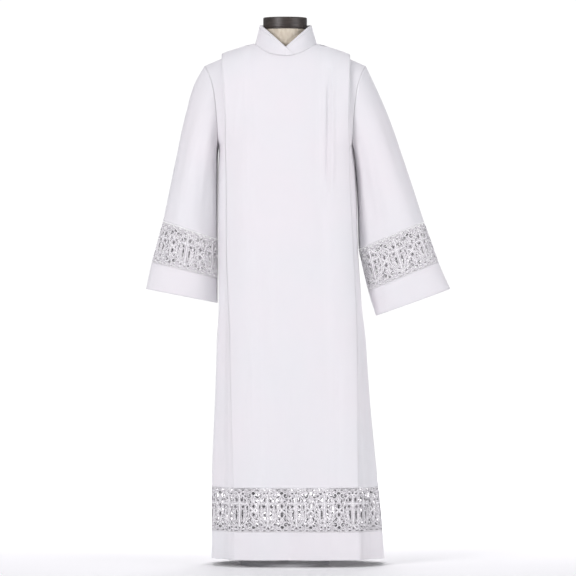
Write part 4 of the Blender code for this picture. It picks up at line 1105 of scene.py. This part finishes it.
def sleeve_grid(side, shares, ring, turns):
    """Rings of a sleeve: its tube with its folds, eased at the top to the armhole's own shape."""
    share = np.asarray(shares, float)[:, None] + 0.0 * turns
    even = np.arange(len(ring)) / len(ring)
    turn = turns + (even - turns) * step(share / SLEEVE_EVEN)
    held = (1.0 - np.minimum(share, 1.0)) ** SLEEVE_HELD_POWER
    outer, inner, _ = sleeve_edges(side, share)
    point = sleeve_point(side, share, turn)
    out = point - (outer + inner) / 2
    out /= np.linalg.norm(out, axis=-1, keepdims=True)
    lift = folds(SLEEVE_FOLDS, turn, share, SLEEVE_FOLD_FADE) * (1 - held)
    start = ring - sleeve_point(side, 0.0 * turns, turns)
    return point + out * lift[..., None] + start * held[..., None]


def armhole_turns(side, ring):
    """The turn of each armhole point, from its height."""
    outer, inner, _ = sleeve_edges(side, 0.0)
    share = np.clip((2 * ring[:, 2] - outer[2] - inner[2]) / (outer[2] - inner[2]), -1.0, 1.0)
    turn = np.arccos(np.sign(share) * np.abs(share) ** (1 / SLEEVE_POWER)) / (2 * math.pi)
    half = len(ring) // 2
    turn[half + 1:] = 1.0 - turn[half + 1:]
    return turn


sleeve_shares = np.append(0.0, np.linspace(0.012, 0.995, 74))
cuff_shares = np.linspace(2.004, 3.0, 14)
cuff_grids = {}
for side, sign in SLEEVE_SIGN.items():
    ring = armhole_ring(side)
    turns = armhole_turns(side, ring)
    grid = sleeve_grid(side, sleeve_shares, ring, turns)
    around = runs_along(grid[-1], closed=True)
    made = cloth_piece(f"{side}_sleeve", grid, around, -runs_along(grid[:, 0]), WHITE_CLOTH, closed=True)
    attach(made, "root")
    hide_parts(f"sleeve_{side}")

    grid = sleeve_grid(side, cuff_shares, ring, turns)
    cuff_grids[side] = grid
    made = cloth_piece(f"{side}_cuff", grid, around, -runs_along(grid[:, 0]), WHITE_CLOTH, closed=True)
    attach(made, "root")
    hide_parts(f"cuff_{side}")

    top, low = sleeve_grid(side, (1.0, 2.0), ring, turns)
    half_count = len(ring) // 2
    for half, keep in (("front", np.arange(half_count + 1)),
                       ("back", np.arange(half_count, len(ring) + 1) % len(ring))):
        grid = top[keep] + (low[keep] - top[keep]) * np.linspace(0, 1, 7)[:, None, None]
        runs = runs_along(grid[3])
        middle = runs[-1] / 2 + (LACE_REPEAT / 2 if half == "back" else 0.0)
        lace_band(f"{side}_cuff_lace_{half}", f"cuff_lace_{side}_{half}", grid, runs, sign, middle)


# Collar: a standing band of two layers of the cloth, stiffened. It is level behind, and cut in
# a straight V in front, where its left end laps over the right one.
COLLAR_CLOTH = 0.0020
COLLAR_TOP_Z = 1.509
NOTCH_Z = 1.444
NOTCH_X = 0.0015
NOTCH_SLOPE = 0.90
COLLAR_START = -13.0
COLLAR_END = 375.0
COLLAR_LAP = 0.0036
LAP_START = 300.0
LAP_RISE = 45.0
COLLAR_LIFT = -0.0014
BACK_LEAN = 0.04
SIDE_LEAN = 0.29
COLLAR_STEPS = 260


def neckline():
    """The neckline all round, as the panels' own top points, with the turn of each about the neck:
    0 in front and 90 degrees to the right."""
    middle = len(STATIONS) // 2
    reach = int(np.argmax(panel_starts(-1.0)[middle:] <= 0.0))
    front = robe_grids["front"][0, middle - reach:middle + reach + 1].copy()
    back = robe_grids["back"][0, middle - reach + 1:middle + reach]
    front[[0, -1], 1] = 0.0
    ring = np.vstack([front[reach:], back[::-1], front[:reach]])
    turns = np.degrees(np.arctan2(ring[:, 0], -ring[:, 1])) % 360.0
    return ring[np.argsort(turns)], np.sort(turns)


neck_ring, neck_turns = neckline()
angle = np.linspace(COLLAR_START, COLLAR_END, COLLAR_STEPS)
a = np.radians(angle)
out = np.stack([np.sin(a), -np.cos(a), 0 * a], -1)
low = np.stack([np.interp(angle, neck_turns, neck_ring[:, k], period=360.0) for k in range(3)], -1)
low = low + out * (COLLAR_LAP * step((angle - LAP_START) / LAP_RISE))[:, None]
low[:, 2] += COLLAR_LIFT
lean = BACK_LEAN + (SIDE_LEAN - BACK_LEAN) * np.sin(a) ** 4
pull = NOTCH_SLOPE * lean * np.abs(np.sin(a))
toward = np.where(angle < 90.0, low[:, 0] - NOTCH_X, NOTCH_X - low[:, 0])
notch_z = (NOTCH_Z + NOTCH_SLOPE * toward + pull * low[:, 2]) / (1 + pull)
top_z = np.where((angle >= 90.0) & (angle <= 270.0), COLLAR_TOP_Z, np.minimum(notch_z, COLLAR_TOP_Z))
rise = np.linspace(0.0, 1.0, 10)[:, None, None]
height = (top_z - low[:, 2])[:, None]
collar_grid = low + rise * height * (np.array([0.0, 0.0, 1.0]) - out * lean[:, None])
collar = cloth_piece("collar_band", collar_grid, runs_along(low), np.linspace(0, 0.055, 10), WHITE_CLOTH,
                     thickness=COLLAR_CLOTH)
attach(collar, "root")
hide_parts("collar")


# Stitching: white thread in even stitches, along the welt over the lace, both edges of the hem, the
# cuffs' edges and the collar's top. Each stitch is a short thread that dips into the cloth.
STITCH_PITCH = 0.0052
STITCH_LENGTH = 0.0038
STITCH_HALF_WIDTH = 0.00032
STITCH_HIGH = 0.00020
STITCH_DIP = 0.00045
WHITE_THREAD, _, thread_shader = plain("white_thread", (0.86, 0.85, 0.87), 0.5)
thread_shader.inputs["Sheen Weight"].default_value = 0.2


def stitch_row(name, node, grid, out, thickness=CLOTH):
    """A row of stitches along the middle of a grid of cloth: each is an arch over its length, which
    starts and ends inside the cloth."""
    runs = runs_along(grid[len(grid) // 2])
    first = np.arange(STITCH_PITCH / 2, runs[-1] - STITCH_PITCH, STITCH_PITCH)
    t = np.linspace(0.0, 1.0, 5)
    paths = np.stack(np.broadcast_arrays(first[:, None] + STITCH_LENGTH * t, 0.0), -1)
    keep = np.ones((len(first), len(t) - 1), bool)
    points, sides, ends = cord_mesh(paths, np.full(len(t), STITCH_HALF_WIDTH), STITCH_HIGH, STITCH_HIGH, keep)
    arch = np.tile(np.repeat(np.sin(math.pi * t), 4), len(first))
    points[:, 2] += thickness / 2 + STITCH_HIGH - STITCH_DIP * (1 - arch)
    points[:, 1] = 0.5 + points[:, 1] / np.linalg.norm(grid[-1, 0] - grid[0, 0])
    faces = np.vstack([sides, ends])[:, ::-1 if out < 0 else 1].tolist()
    made = mesh_piece(name, laid(points, grid, runs, out), faces, WHITE_THREAD)
    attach(made, "root")
    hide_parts(node)


for name, face in (("front", -1.0), ("back", 1.0)):
    stitch_row(f"{name}_welt_stitches", name, robe_grids[name][-3:], face)
    stitch_row(f"{name}_hem_top_stitches", f"hem_{name}", hem_grids[name][:3], face)
    stitch_row(f"{name}_hem_low_stitches", f"hem_{name}", hem_grids[name][-5:-2], face)
for side, sign in SLEEVE_SIGN.items():
    for place, rows in (("top", slice(0, 3)), ("low", slice(-4, -1))):
        grid = np.concatenate([cuff_grids[side][rows], cuff_grids[side][rows, :1]], 1)
        stitch_row(f"{side}_cuff_{place}_stitches", f"cuff_{side}", grid, sign)
stitch_row("collar_stitches", "collar", collar_grid[-3:], 1.0, COLLAR_CLOTH)
